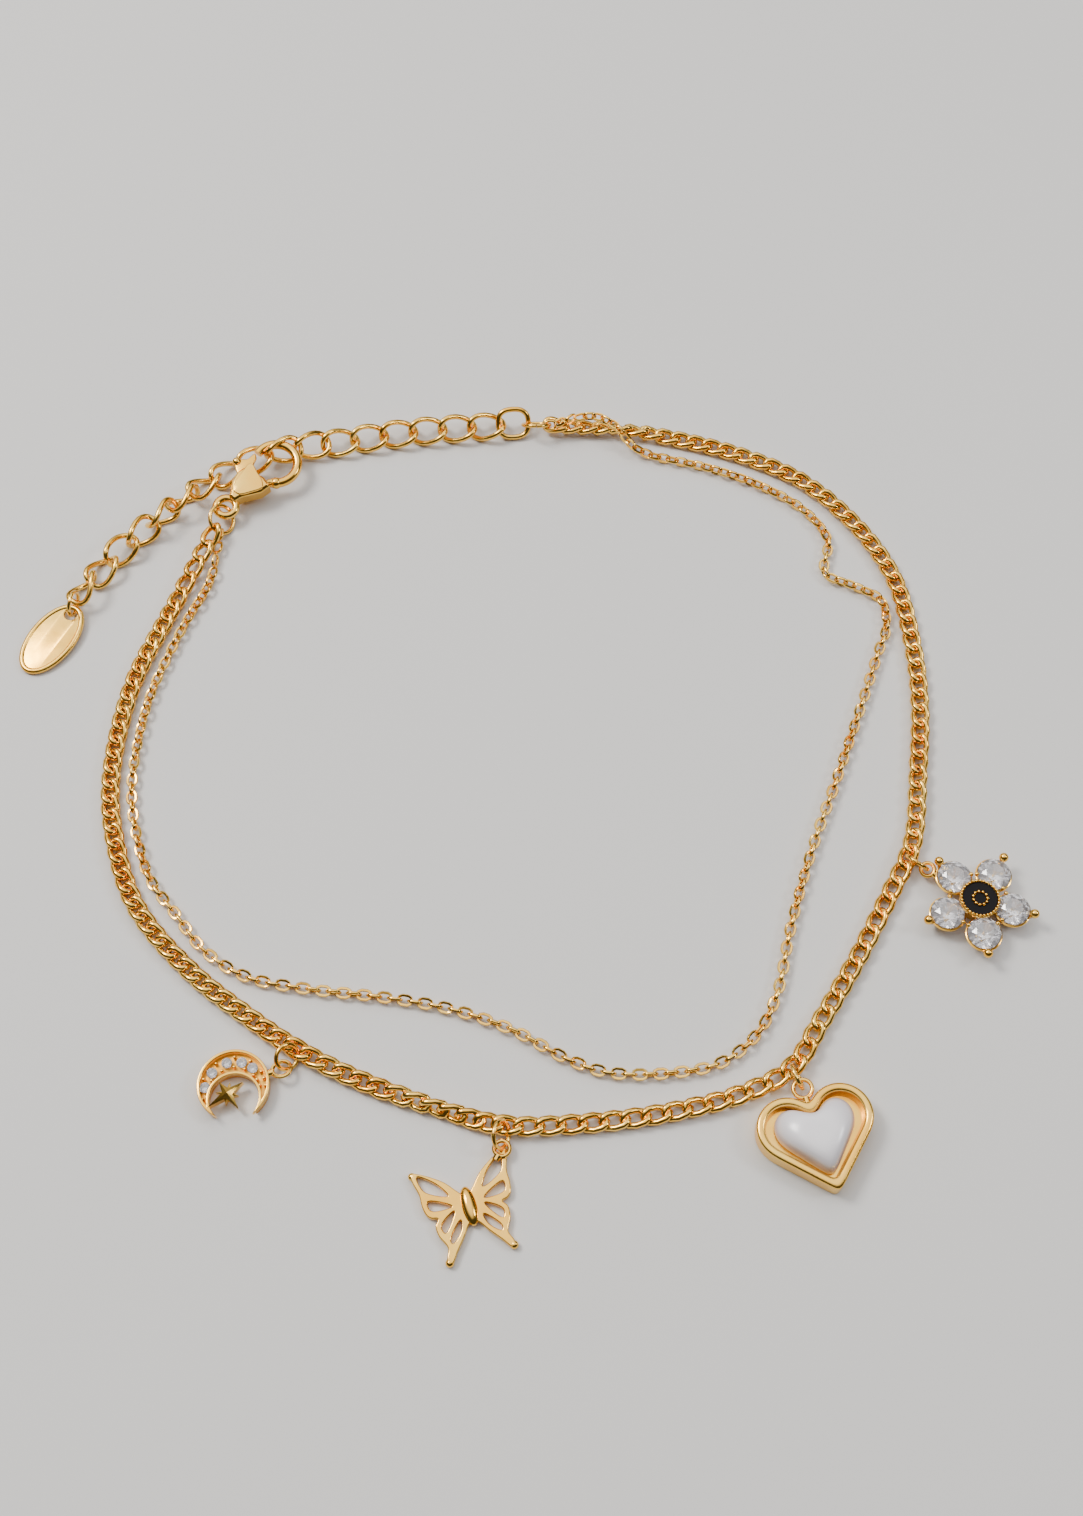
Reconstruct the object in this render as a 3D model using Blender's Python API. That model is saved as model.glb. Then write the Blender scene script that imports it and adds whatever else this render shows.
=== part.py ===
"""Charm anklet lying in a loop: a curb chain and a fine chain between two jump rings,
an extender chain, a lobster clasp and four charms. Metres, +Z up, floor at z = 0."""

import math

import bmesh
import bpy
from mathutils import Matrix, Vector

# Moves the whole anklet so that its box is centred; every position below is before the move
FRAME_SHIFT = (0.00037, 0.00107, 0.0)
SMOOTH_ANGLE = math.radians(50)

# Clearances
SEAT_GAP = 0.0003
LINK_GAP = 0.0001

# Shape of every link's oval: 2 is an ellipse, more is squarer
LINK_SQUARENESS = 2.6

# Curb chain, flat on the floor
CURB_WIDTH = 0.0020
CURB_THICKNESS = 0.0012
CURB_WIRE = 0.00052
CURB_LINK_LENGTH = 0.0030
CURB_TWIST = math.radians(-42)
CURB_POINT_STEP = 0.0035
CURB_ROUTE = [
    (-0.0324, 0.0275), (-0.0352, 0.0204), (-0.0386, 0.0108), (-0.0396, 0.0004),
    (-0.0385, -0.0062), (-0.0358, -0.0130), (-0.0301, -0.0195), (-0.0239, -0.0243),
    (-0.0196, -0.0271), (-0.0141, -0.0299), (-0.0064, -0.0328), (-0.0005, -0.0343),
    (0.0062, -0.0341), (0.0139, -0.0331), (0.0213, -0.0312), (0.0257, -0.0288),
    (0.0285, -0.0245), (0.0324, -0.0182), (0.0361, -0.0114), (0.0386, -0.0062),
    (0.0398, 0.0010), (0.0407, 0.0089), (0.0406, 0.0158), (0.0393, 0.0240),
    (0.0357, 0.0307), (0.0304, 0.0362), (0.0241, 0.0395), (0.0161, 0.0419),
    (0.0103, 0.0428), (0.0043, 0.0428),
]

# Fine cable chain, laid inside the curb chain and over it at the right end: x, y, height
FINE_DIAMETER = 0.0012
FINE_WIRE = 0.0003
FINE_LINK_LENGTH = 0.0015
FINE_POINT_STEP = 0.0026
FINE_LIE = FINE_DIAMETER / 2 + 0.00002
FINE_CROSS = CURB_THICKNESS + SEAT_GAP + FINE_DIAMETER / 2
FINE_ROUTE = [
    (-0.0310, 0.0273, FINE_LIE), (-0.0318, 0.0231, FINE_LIE), (-0.0337, 0.0187, FINE_LIE),
    (-0.0355, 0.0137, FINE_LIE), (-0.0367, 0.0095, FINE_LIE), (-0.0374, 0.0040, FINE_LIE),
    (-0.0374, -0.0010, FINE_LIE), (-0.0364, -0.0058, FINE_LIE), (-0.0347, -0.0102, FINE_LIE),
    (-0.0317, -0.0141, FINE_LIE), (-0.0290, -0.0174, FINE_LIE), (-0.0249, -0.0200, FINE_LIE),
    (-0.0193, -0.0212, FINE_LIE), (-0.0117, -0.0221, FINE_LIE), (-0.0057, -0.0232, FINE_LIE),
    (0.0000, -0.0252, FINE_LIE), (0.0051, -0.0280, FINE_LIE), (0.0089, -0.0293, FINE_LIE),
    (0.0150, -0.0293, FINE_LIE), (0.0193, -0.0283, FINE_LIE), (0.0227, -0.0255, FINE_LIE),
    (0.0247, -0.0216, FINE_LIE), (0.0263, -0.0152, FINE_LIE), (0.0288, -0.0072, FINE_LIE),
    (0.0319, 0.0009, FINE_LIE), (0.0349, 0.0090, FINE_LIE), (0.0370, 0.0149, FINE_LIE),
    (0.0381, 0.0180, FINE_LIE), (0.0378, 0.0212, FINE_LIE), (0.0352, 0.0229, FINE_LIE),
    (0.0323, 0.0245, FINE_LIE), (0.0328, 0.0287, FINE_LIE), (0.0306, 0.0323, FINE_LIE),
    (0.0261, 0.0355, FINE_LIE), (0.0207, 0.0378, FINE_LIE), (0.0158, 0.0391, FINE_LIE),
    (0.0146, 0.0394, 0.00068), (0.0126, 0.0403, 0.00112), (0.0108, 0.0421, FINE_CROSS),
    (0.0089, 0.0434, FINE_CROSS),
    (0.0070, 0.0434, FINE_CROSS), (0.0057, 0.0424, FINE_CROSS + 0.0001), (0.0047, 0.0417, 0.0020),
]

# Jump rings of the chain ends
END_RING_RADIUS = 0.0015
END_RING_WIRE = 0.00034
RING_LEAN = math.radians(48)
LEFT_RING_CENTRE = (-0.0309, 0.0307)
LEFT_RING_HEADING = math.radians(66)
RIGHT_RING_CENTRE = (0.0022, 0.0430)

# Extender: links at one pitch from the right jump ring, the roll of each, and the centres of
# the links that the clasp's hook lifts
EXTENDER_WIRE = 0.0005
EXTENDER_LENGTH = 0.0043
EXTENDER_WIDTH = 0.0031
EXTENDER_TWIST = math.radians(-45)
EXTENDER_SLACK = 0.00014
EXTENDER_ROUTE = [
    (-0.0003, 0.0431), (-0.0063, 0.0426), (-0.0125, 0.0419), (-0.0186, 0.0408), (-0.0217, 0.0402),
    (-0.0246, 0.0393), (-0.0274, 0.0384), (-0.0300, 0.0372), (-0.0326, 0.0355), (-0.0351, 0.0332),
    (-0.0389, 0.0292), (-0.0420, 0.0259), (-0.04443, 0.0222),
]
EXTENDER_ROLLS_DEG = [20, 25, 25, 25, 25, 25, 53.6, 65.8, 21.3, 0.2, -25, -56, -88,
                      -120, -152, -186, -220]
EXTENDER_HELD = {
    7: (-0.02192, 0.04003, 0.00159), 8: (-0.02484, 0.03910, 0.00193),
    9: (-0.02786, 0.03826, 0.00139), 10: (-0.03072, 0.03692, 0.00100),
}
ROUND_LINK_RADIUS = 0.00165
ROUND_LINK_ROLL = math.radians(45)

# Oval tag
TAG_LENGTH = 0.0088
TAG_WIDTH = 0.0050
TAG_THICKNESS = 0.0006
TAG_RIM = 0.0005
TAG_RIM_HEIGHT = 0.00015
TAG_HOLE_RADIUS = 0.0007
TAG_HOLE_INSET = 0.0011
TAG_CENTRE = (-0.04729, 0.01660)
TAG_HEADING = math.radians(59)
TAG_LIFT = 0.051
TAG_RING_RADIUS = 0.00125
TAG_RING_CENTRE = (-0.04531, 0.02025, 0.001432)
TAG_RING_AXIS = (0.976, -0.216, 0.007)
LAST_LINK_HEADING = math.radians(63)

# Lobster clasp, in its own plane: +X from the base ring to the hook, +Y to the lever's side
CLASP_BASE = (-0.0305, 0.0321, 0.00156)
CLASP_HEADING = math.radians(45.14)
CLASP_PITCH = math.radians(4.32)
CLASP_ROLL = math.radians(6.75)
CLASP_THICKNESS = 0.0019
BASE_RING_RADIUS = 0.00105
BASE_RING_WIRE = 0.00076
HOOK_CENTRE = (0.0072, 0.0001)
HOOK_RADIUS = 0.0023
HOOK_WIRE = 0.0008
HOOK_START = math.radians(-150)
HOOK_END = math.radians(104)
SHELL_OUTLINE = [
    (0.0009, 0.0004), (0.0016, 0.0009), (0.0023, 0.0015), (0.0034, 0.0019), (0.0043, 0.0018),
    (0.0047, 0.0011), (0.0050, -0.0006), (0.0048, -0.0017), (0.0036, -0.0016), (0.0018, -0.0006),
    (0.0009, -0.0004),
]
LEVER_PIVOT = (0.0036, 0.0006)
LEVER_THICKNESS = 0.00055
LEVER_SLOT_GAP = 0.0001
LEVER_SLOT_FLOOR = -0.0005
LEVER_OUTLINE = [
    (0.0031, 0.0002), (0.0040, 0.0001), (0.0049, 0.0014), (0.0062, 0.0020), (0.00635, 0.00245),
    (0.0054, 0.0027), (0.0049, 0.0029), (0.0045, 0.0035), (0.0040, 0.0034), (0.0038, 0.0027),
    (0.0031, 0.0015),
]
NUB_CENTRE = (0.0043, 0.0031)
NUB_RADIUS = 0.00055
PIN_RADIUS = 0.00028
PIN_HOLD_GAP = 0.00001
PIN_TURN_GAP = 0.00005

# Charm jump rings and eyelets
CHARM_RING_WIRE = 0.00036
CHARM_RINGS = {"moon": (0.0012, 40), "butterfly": (0.00125, 30), "heart": (0.0012, 20), "flower": (0.0012, 25)}
EYELET_WIRE = 0.0004
NECK_WIDTH = 0.0007
EYELETS = {"moon": (0.00085, 0.0006), "butterfly": (0.0007, 0.0005), "heart": (0.00085, 0.0013), "flower": (0.00064, 0.0012)}

# Moon charm
MOON_CENTRE = (-0.0252, -0.0306)
MOON_HEADING = math.radians(97)
MOON_RADIUS = 0.0033
MOON_THICKNESS = 0.0013
MOON_INNER_RADIUS = 0.00225
MOON_INNER_OFFSET = 0.00130
MOON_RIM = 0.00034
MOON_RECESS = 0.0003
MOON_STONE_RADIUS = 0.00050
MOON_STONE_ANGLES_DEG = [90, 55, 13, -24, -54]
STAR_CENTRE_ANGLE = math.radians(145)
STAR_CENTRE_RADIUS = 0.00098
STAR_LONG = 0.0019
STAR_SHORT = 0.00105
STAR_WAIST = 0.00034
STAR_TURN = math.radians(31)

# Butterfly charm, half outline: along the body towards the head, out along the wing. The ring
# share is where its jump ring goes through
FLY_HEADING = math.radians(106)
FLY_SPAN = 0.0087
FLY_THICKNESS = 0.0007
FLY_BODY_RADIUS = 0.00062
FLY_BODY_LENGTH = 0.0030
FLY_WING = [
    (0.115, 0.0), (0.18, 0.07), (0.315, 0.185), (0.42, 0.33), (0.475, 0.43), (0.49, 0.475),
    (0.465, 0.50), (0.40, 0.50), (0.26, 0.465), (0.13, 0.465), (0.03, 0.44), (-0.01, 0.40),
    (-0.03, 0.34), (-0.09, 0.38), (-0.20, 0.375), (-0.34, 0.315), (-0.44, 0.35), (-0.49, 0.35),
    (-0.505, 0.31), (-0.41, 0.235), (-0.28, 0.13), (-0.17, 0.05), (-0.14, 0.0),
]
FLY_RING_SHARE = (0.486, -0.474)
FLY_CELLS = [
    [(0.44, 0.44), (0.34, 0.43), (0.265, 0.39), (0.17, 0.185), (0.27, 0.235), (0.38, 0.34), (0.43, 0.40)],
    [(0.165, 0.395), (0.07, 0.385), (0.055, 0.17)],
    [(0.0, 0.16), (-0.065, 0.28), (-0.125, 0.325), (-0.19, 0.30)],
    [(-0.105, 0.12), (-0.265, 0.265), (-0.31, 0.255), (-0.21, 0.145)],
]

# Heart charm
HEART_TIP = (0.0289, -0.0400)
HEART_HEADING = math.radians(106)
HEART_WIDTH = 0.0109
HEART_LOBE_RADIUS = 0.2706 * HEART_WIDTH
HEART_TIP_TO_LOBES = 0.5505 * HEART_WIDTH
HEART_HEIGHT = 0.0021
HEART_RIM = 0.00075
HEART_SLOPE = 0.0005
HEART_FLOOR = 0.0008
PEARL_GAP = 0.0002
PEARL_HEIGHT = 0.0034
PEARL_MIDDLE = 0.0044
PEARL_DOME = [(0.0, 0.94), (0.25, 1.0), (0.5, 0.96), (0.75, 0.81), (0.92, 0.55), (1.0, 0.25)]

# Flower charm
FLOWER_CENTRE = (0.0441, -0.0129)
FLOWER_TURN = math.radians(129.5)
FLOWER_STONE_RADIUS = 0.00160
FLOWER_STONE_ORBIT = 0.00325
FLOWER_CUP_HEIGHT = 0.0012
FLOWER_GIRDLE = 0.0014
FLOWER_BALL_ORBIT = 0.00530
FLOWER_BALL_RADIUS = 0.00044
FLOWER_HUB_RADIUS = 0.0015
FLOWER_HUB_HEIGHT = 0.0022
FLOWER_DISC_RADIUS = 0.0019
FLOWER_DISC_THICKNESS = 0.00048
FLOWER_TOP = 0.0026
ENAMEL_RADIUS = 0.0013
ENAMEL_THICKNESS = 0.0004

# Where the chain passes each charm's jump ring, and where the charm's eyelet is
CHARM_SPOTS = {
    "moon": ((-0.0196, -0.0272, 0.00088), (-0.02095, -0.02905, 0.00085)),
    "butterfly": ((-0.0003, -0.0343, 0.00088), (-0.0008, -0.0364, 0.0008)),
    "heart": ((0.0257, -0.0288, 0.00095), (0.0264, -0.0310, 0.00115)),
    "flower": ((0.0380, -0.0079, 0.00085), (0.03975, -0.0093, 0.0010)),
}

COLOURS = {
    "gold": ((0.90, 0.62, 0.24, 1.0), 0.18, 1.0),
    "pearl": ((0.93, 0.90, 0.92, 1.0), 0.22, 0.0),
    "clear_stone": ((0.90, 0.88, 0.95, 1.0), 0.02, 0.0),
    "black_enamel": ((0.01, 0.01, 0.012, 1.0), 0.15, 0.0),
}


def clear_scene():
    for obj in list(bpy.data.objects):
        bpy.data.objects.remove(obj, do_unlink=True)


def make_materials():
    made = {}
    for name, (colour, roughness, metallic) in COLOURS.items():
        material = bpy.data.materials.new(name)
        material.use_nodes = True
        shader = material.node_tree.nodes["Principled BSDF"]
        shader.inputs["Base Color"].default_value = colour
        shader.inputs["Roughness"].default_value = roughness
        shader.inputs["Metallic"].default_value = metallic
        made[name] = material
    return made


clear_scene()
MATERIALS = make_materials()
ANKLET = bpy.data.collections.new("anklet")
bpy.context.scene.collection.children.link(ANKLET)


def add_object(name, data, material="gold", matrix=None):
    obj = bpy.data.objects.new(name, data)
    if matrix is not None:
        obj.matrix_world = matrix
    data.materials.append(MATERIALS[material])
    ANKLET.objects.link(obj)
    return obj


def facing(centre, along, roll=0.0):
    """A frame at centre with +X along a direction and +Z up, then turned by roll about +X."""
    x = Vector(along).normalized()
    y = Vector((0, 0, 1)).cross(x).normalized()
    z = x.cross(y)
    turn = Matrix((x, y, z)).transposed().to_4x4()
    return Matrix.Translation(centre) @ turn @ Matrix.Rotation(roll, 4, "X")


def flat_place(point, heading, height=0.0):
    return Matrix.Translation((point[0], point[1], height)) @ Matrix.Rotation(heading, 4, "Z")


# Wires, links and rings
def wire_curve(name, points, diameter, closed, sides_step=1):
    """A round wire through the points; each side step adds two sides to a square section."""
    curve = bpy.data.curves.new(name, "CURVE")
    curve.dimensions = "3D"
    curve.bevel_depth = diameter / 2
    curve.bevel_resolution = sides_step
    curve.use_fill_caps = not closed
    spline = curve.splines.new("POLY")
    spline.points.add(len(points) - 1)
    for slot, point in zip(spline.points, points):
        slot.co = (*point, 1.0)
    spline.use_cyclic_u = closed
    return curve


def link_points(length, width, wire, twist, count=12):
    """An oval link's centre line, its two ends twisted opposite ways about its length."""
    points = []
    for step in range(count):
        angle = 2 * math.pi * step / count
        along, side = (math.copysign(abs(part) ** (2 / LINK_SQUARENESS), part)
                       for part in (math.cos(angle), math.sin(angle)))
        turn = twist * along
        side *= (width - wire) / 2
        points.append((along * (length - wire) / 2, side * math.cos(turn), side * math.sin(turn)))
    return points


def add_link(name, length, width, wire, twist, matrix, count=12):
    points = link_points(length, width, wire, twist, count)
    return add_object(name, wire_curve(name, points, wire, True), matrix=matrix)


def circle_points(radius, count=14):
    steps = (2 * math.pi * step / count for step in range(count))
    return [(radius * math.cos(angle), radius * math.sin(angle), 0.0) for angle in steps]


def add_ring(name, radius, wire, matrix, count=14):
    return add_object(name, wire_curve(name, circle_points(radius, count), wire, True), matrix=matrix)


def ring_through(start, end, lean, radius):
    """The frame of a ring that passes through two points and leans the given way."""
    start, end = Vector(start), Vector(end)
    x = (end - start).normalized()
    up = Vector(lean)
    up = (up - x * up.dot(x)).normalized()
    half = (end - start).length / 2
    centre = (start + end) / 2 + up * math.sqrt(max(radius**2 - half**2, 0.0))
    turn = Matrix((x, up, x.cross(up))).transposed().to_4x4()
    return Matrix.Translation(centre) @ turn


# Routes
def smooth_route(points, samples=24):
    """A fine polyline on a centripetal curve through the route's points."""
    pts = [Vector(point) for point in points]
    pts = [pts[0] * 2 - pts[1]] + pts + [pts[-1] * 2 - pts[-2]]
    line = []
    for a, b, c, d in zip(pts, pts[1:], pts[2:], pts[3:]):
        t1 = math.sqrt((b - a).length)
        t2 = t1 + math.sqrt((c - b).length)
        t3 = t2 + math.sqrt((d - c).length)
        for step in range(samples):
            t = t1 + (t2 - t1) * step / samples
            p = a * ((t1 - t) / t1) + b * (t / t1)
            q = b * ((t2 - t) / (t2 - t1)) + c * ((t - t1) / (t2 - t1))
            r = c * ((t3 - t) / (t3 - t2)) + d * ((t - t2) / (t3 - t2))
            pq = p * ((t2 - t) / t2) + q * (t / t2)
            qr = q * ((t3 - t) / (t3 - t1)) + r * ((t - t1) / (t3 - t1))
            line.append(pq * ((t2 - t) / (t2 - t1)) + qr * ((t - t1) / (t2 - t1)))
    return line + [pts[-2]]


class Route:
    """A smooth line that can be read at any distance from its start."""

    def __init__(self, points):
        self.line = smooth_route(points)
        self.marks = [0.0]
        for a, b in zip(self.line, self.line[1:]):
            self.marks.append(self.marks[-1] + (b - a).length)
        self.length = self.marks[-1]

    def at(self, distance):
        distance = min(max(distance, 0.0), self.length)
        low = next(i for i in range(len(self.marks) - 1) if self.marks[i + 1] >= distance)
        share = (distance - self.marks[low]) / (self.marks[low + 1] - self.marks[low])
        return self.line[low].lerp(self.line[low + 1], share)

    def heading(self, distance):
        return (self.at(distance + 0.0005) - self.at(distance - 0.0005)).normalized()

    def nearest(self, point):
        target = Vector(point)
        best = min(range(len(self.line)), key=lambda i: (self.line[i] - target).length)
        return self.marks[best]

    def between(self, start, end, step):
        count = max(2, round((end - start) / step))
        return [self.at(start + (end - start) * i / count) for i in range(count + 1)]


# Solids
def as_mesh(obj):
    """Turns a curve object, or one with modifiers, into a plain mesh object in place."""
    graph = bpy.context.evaluated_depsgraph_get()
    mesh = bpy.data.meshes.new_from_object(obj.evaluated_get(graph))
    mesh.transform(obj.matrix_world)
    work = bmesh.new()
    work.from_mesh(mesh)
    bmesh.ops.remove_doubles(work, verts=work.verts, dist=1e-7)
    bmesh.ops.recalc_face_normals(work, faces=work.faces)
    work.to_mesh(mesh)
    work.free()
    name, materials = obj.name, list(obj.data.materials)
    bpy.data.objects.remove(obj, do_unlink=True)
    made = bpy.data.objects.new(name, mesh)
    if not mesh.materials:
        for material in materials:
            mesh.materials.append(material)
    ANKLET.objects.link(made)
    return made


def combine(base, others, operation):
    """Joins the other solids to base, or cuts them from it, one by one, and removes them."""
    base = as_mesh(base)
    for other in others:
        other = as_mesh(other)
        step = base.modifiers.new(operation.lower(), "BOOLEAN")
        step.operation = operation
        step.object = other
        bpy.context.view_layer.update()
        base = as_mesh(base)
        bpy.data.objects.remove(other, do_unlink=True)
    return base


def loft(name, sections, material="gold", matrix=None):
    """A closed solid through rings of points, each a list with as many points as the next."""
    work = bmesh.new()
    rings = [[work.verts.new(point) for point in ring] for ring in sections]
    count = len(rings[0])
    work.faces.new(list(reversed(rings[0])))
    work.faces.new(rings[-1])
    for low, high in zip(rings, rings[1:]):
        for i in range(count):
            j = (i + 1) % count
            work.faces.new((low[i], low[j], high[j], high[i]))
    bmesh.ops.remove_doubles(work, verts=work.verts, dist=1e-6)
    bmesh.ops.recalc_face_normals(work, faces=work.faces)
    mesh = bpy.data.meshes.new(name)
    work.to_mesh(mesh)
    work.free()
    return add_object(name, mesh, material, matrix)


def at_height(outline, height):
    return [(x, y, height) for x, y in outline]


def plate(name, outlines, thickness, matrix, bevel=0.0):
    """A flat plate centred on its plane: the first outline is its edge, the others are holes."""
    curve = bpy.data.curves.new(name, "CURVE")
    curve.dimensions = "2D"
    curve.fill_mode = "BOTH"
    curve.extrude = thickness / 2 - bevel
    curve.bevel_depth = bevel
    curve.bevel_resolution = 0
    curve.offset = -bevel
    for outline in outlines:
        spline = curve.splines.new("POLY")
        spline.points.add(len(outline) - 1)
        for slot, (x, y) in zip(spline.points, outline):
            slot.co = (x, y, 0.0, 1.0)
        spline.use_cyclic_u = True
    return add_object(name, curve, matrix=matrix)


def primitive(name, maker, matrix, **sizes):
    work = bmesh.new()
    maker(work, **sizes)
    mesh = bpy.data.meshes.new(name)
    work.to_mesh(mesh)
    work.free()
    return add_object(name, mesh, matrix=matrix)


def ball(name, radius, matrix, across=8, down=6, stretch=(1, 1, 1)):
    shape = matrix @ Matrix.Diagonal((*stretch, 1))
    return primitive(name, bmesh.ops.create_uvsphere, shape, u_segments=across, v_segments=down,
                     radius=radius)


def cylinder(name, radius, depth, matrix, sides=12, top_radius=None):
    return primitive(name, bmesh.ops.create_cone, matrix, cap_ends=True, segments=sides,
                     radius1=radius, radius2=radius if top_radius is None else top_radius, depth=depth)


def cut_stone(name, radius, girdle_height, matrix, sides=12):
    """A round brilliant: table, crown, girdle and a pavilion that ends in a small flat culet."""
    steps = [(0.10, -0.72), (0.98, -0.06), (1.0, 0.0), (0.98, 0.06), (0.58, 0.36)]
    rings = []
    for level, (share, height) in enumerate(steps):
        turn = math.pi / sides * (level == 4)
        ring = [(share * radius * math.cos(2 * math.pi * i / sides + turn),
                 share * radius * math.sin(2 * math.pi * i / sides + turn),
                 girdle_height + height * radius) for i in range(sides)]
        rings.append(ring)
    return loft(name, rings, "clear_stone", matrix)


# The two chains
def make_curb_chain(route):
    """Flat runs of chain, with a real link wherever a jump ring passes through one."""
    half_link = CURB_LINK_LENGTH / 2
    spots = [(0.0, "curb_end_link_left")]
    for charm, (place, _) in CHARM_SPOTS.items():
        spots.append((route.nearest((place[0], place[1], 0)), "curb_link_" + charm))
    spots.append((route.length, "curb_end_link_right"))
    for number, ((start, _), (end, _)) in enumerate(zip(spots, spots[1:]), 1):
        first = start + half_link + SEAT_GAP
        last = end - half_link - SEAT_GAP
        points = [(p.x, p.y, 0) for p in route.between(first, last, CURB_POINT_STEP)]
        run = wire_curve(f"curb_run_{number}", points, CURB_WIDTH, False, 2)
        lying = Matrix.Translation((0, 0, CURB_THICKNESS / 2))
        lying = lying @ Matrix.Diagonal((1, 1, CURB_THICKNESS / CURB_WIDTH, 1))
        add_object(f"curb_run_{number}", run, matrix=lying)
    for charm, (place, _) in CHARM_SPOTS.items():
        along = route.heading(route.nearest((place[0], place[1], 0)))
        add_link("curb_link_" + charm, CURB_LINK_LENGTH, CURB_WIDTH, CURB_WIRE, CURB_TWIST,
                 facing(place, along))


def add_end_link(name, ring, angle_deg, towards, size):
    """An end link hung on a jump ring, its plane there square to the ring's wire."""
    length, width, wire, twist = size
    hook_point = on_ring(ring, angle_deg)
    wire_way = on_ring(ring, angle_deg + 5) - on_ring(ring, angle_deg - 5)
    away = (Vector(towards) - hook_point).normalized()
    centre = hook_point + away * (length / 2 - wire - END_RING_WIRE / 2 - 1.4 * LINK_GAP)
    level = facing(centre, away)
    lean = math.atan2(-wire_way.dot(level.col[1].xyz), wire_way.dot(level.col[2].xyz))
    return add_link(name, *size, facing(centre, away, lean + twist))


def make_fine_chain(route):
    gap = FINE_LINK_LENGTH + SEAT_GAP
    points = route.between(gap, route.length - gap, FINE_POINT_STEP)
    add_object("fine_run", wire_curve("fine_run", points, FINE_DIAMETER, False, 2))


# Jump rings at the chain ends, and what hangs on them
def ring_frame(centre, heading, lean):
    """A ring frame with +X along the heading and +Y leaning up from the floor."""
    x = Vector((math.cos(heading), math.sin(heading), 0))
    side = Vector((-math.sin(heading), math.cos(heading), 0))
    y = side * math.cos(lean) + Vector((0, 0, math.sin(lean)))
    height = END_RING_RADIUS * math.sin(lean) + END_RING_WIRE / 2
    turn = Matrix((x, y, x.cross(y))).transposed().to_4x4()
    return Matrix.Translation((centre[0], centre[1], height)) @ turn


def on_ring(frame, angle_deg, radius=END_RING_RADIUS):
    angle = math.radians(angle_deg)
    return frame @ Vector((radius * math.cos(angle), radius * math.sin(angle), 0))


def make_chain_ends(curb, fine):
    left = ring_frame(LEFT_RING_CENTRE, LEFT_RING_HEADING, RING_LEAN)
    right = ring_frame(RIGHT_RING_CENTRE, 0.0, math.pi - RING_LEAN)
    add_ring("jump_ring_left", END_RING_RADIUS, END_RING_WIRE, left)
    add_ring("jump_ring_right", END_RING_RADIUS, END_RING_WIRE, right)
    curb_size = (CURB_LINK_LENGTH, CURB_WIDTH, CURB_WIRE, CURB_TWIST)
    fine_size = (FINE_LINK_LENGTH, FINE_DIAMETER, FINE_WIRE, 0.0)
    low = Vector((0, 0, CURB_THICKNESS / 2))
    add_end_link("curb_end_link_left", left, 175, curb.at(CURB_LINK_LENGTH) + low, curb_size)
    add_end_link("curb_end_link_right", right, -8, curb.at(curb.length - CURB_LINK_LENGTH) + low, curb_size)
    add_end_link("fine_end_link_left", left, 208, fine.at(FINE_LINK_LENGTH), fine_size)
    add_end_link("fine_end_link_right", right, 27, fine.at(fine.length - FINE_LINK_LENGTH), fine_size)


# Extender and tag
def make_extender():
    route = Route([(x, y, 0) for x, y in EXTENDER_ROUTE])
    pitch = EXTENDER_LENGTH - 2 * EXTENDER_WIRE - EXTENDER_SLACK
    round_lift = ROUND_LINK_RADIUS * math.sin(ROUND_LINK_ROLL) + EXTENDER_WIRE / 2
    round_centre = route.at(0) + Vector((0, 0, round_lift))
    add_link("extender_link_round", 2 * ROUND_LINK_RADIUS + EXTENDER_WIRE,
             2 * ROUND_LINK_RADIUS + EXTENDER_WIRE - 0.0003, EXTENDER_WIRE, 0.0,
             facing(round_centre, -route.heading(0.001), ROUND_LINK_ROLL), 14)
    shape = link_points(EXTENDER_LENGTH, EXTENDER_WIDTH, EXTENDER_WIRE, EXTENDER_TWIST)
    distance, centre, centres = 0.0, round_centre, []
    step = pitch / 2 + ROUND_LINK_RADIUS - EXTENDER_WIRE / 2 - EXTENDER_SLACK / 2
    for number, roll in enumerate(EXTENDER_ROLLS_DEG, 1):
        turn = Matrix.Rotation(math.radians(roll), 4, "X")
        height = EXTENDER_WIRE / 2 - min((turn @ Vector(point)).z for point in shape)
        if number in EXTENDER_HELD:
            centre = Vector(EXTENDER_HELD[number])
            distance = route.nearest((centre.x, centre.y, 0))
            loose_pitch = (route.length - distance) / (len(EXTENDER_ROLLS_DEG) - number)
        elif number > max(EXTENDER_HELD):
            distance += loose_pitch
            centre = route.at(distance) + Vector((0, 0, height))
        else:
            before = centre
            while (centre - before).length < step:
                distance += 0.00002
                centre = route.at(distance) + Vector((0, 0, height))
        centres.append(centre)
        step = pitch
    last_way = Vector((math.cos(LAST_LINK_HEADING), math.sin(LAST_LINK_HEADING), 0))
    beyond = centres[-2] - last_way
    ends = [round_centre] + centres + [beyond]
    rolls = [math.radians(roll) for roll in EXTENDER_ROLLS_DEG]
    for number, (before, centre, after) in enumerate(zip(ends, ends[1:], ends[2:])):
        placed = facing(centre, before - after, rolls[number])
        lowest = min((placed @ Vector(point)).z for point in shape) - EXTENDER_WIRE / 2
        placed.translation.z = max(placed.translation.z, placed.translation.z - lowest)
        add_link(f"extender_link_{number + 1:02d}", EXTENDER_LENGTH, EXTENDER_WIDTH, EXTENDER_WIRE,
                 EXTENDER_TWIST, placed)


def oval(length, width, inset, count=20):
    steps = (2 * math.pi * i / count for i in range(count))
    return [((length / 2 - inset) * math.cos(a), (width / 2 - inset) * math.sin(a)) for a in steps]


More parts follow.
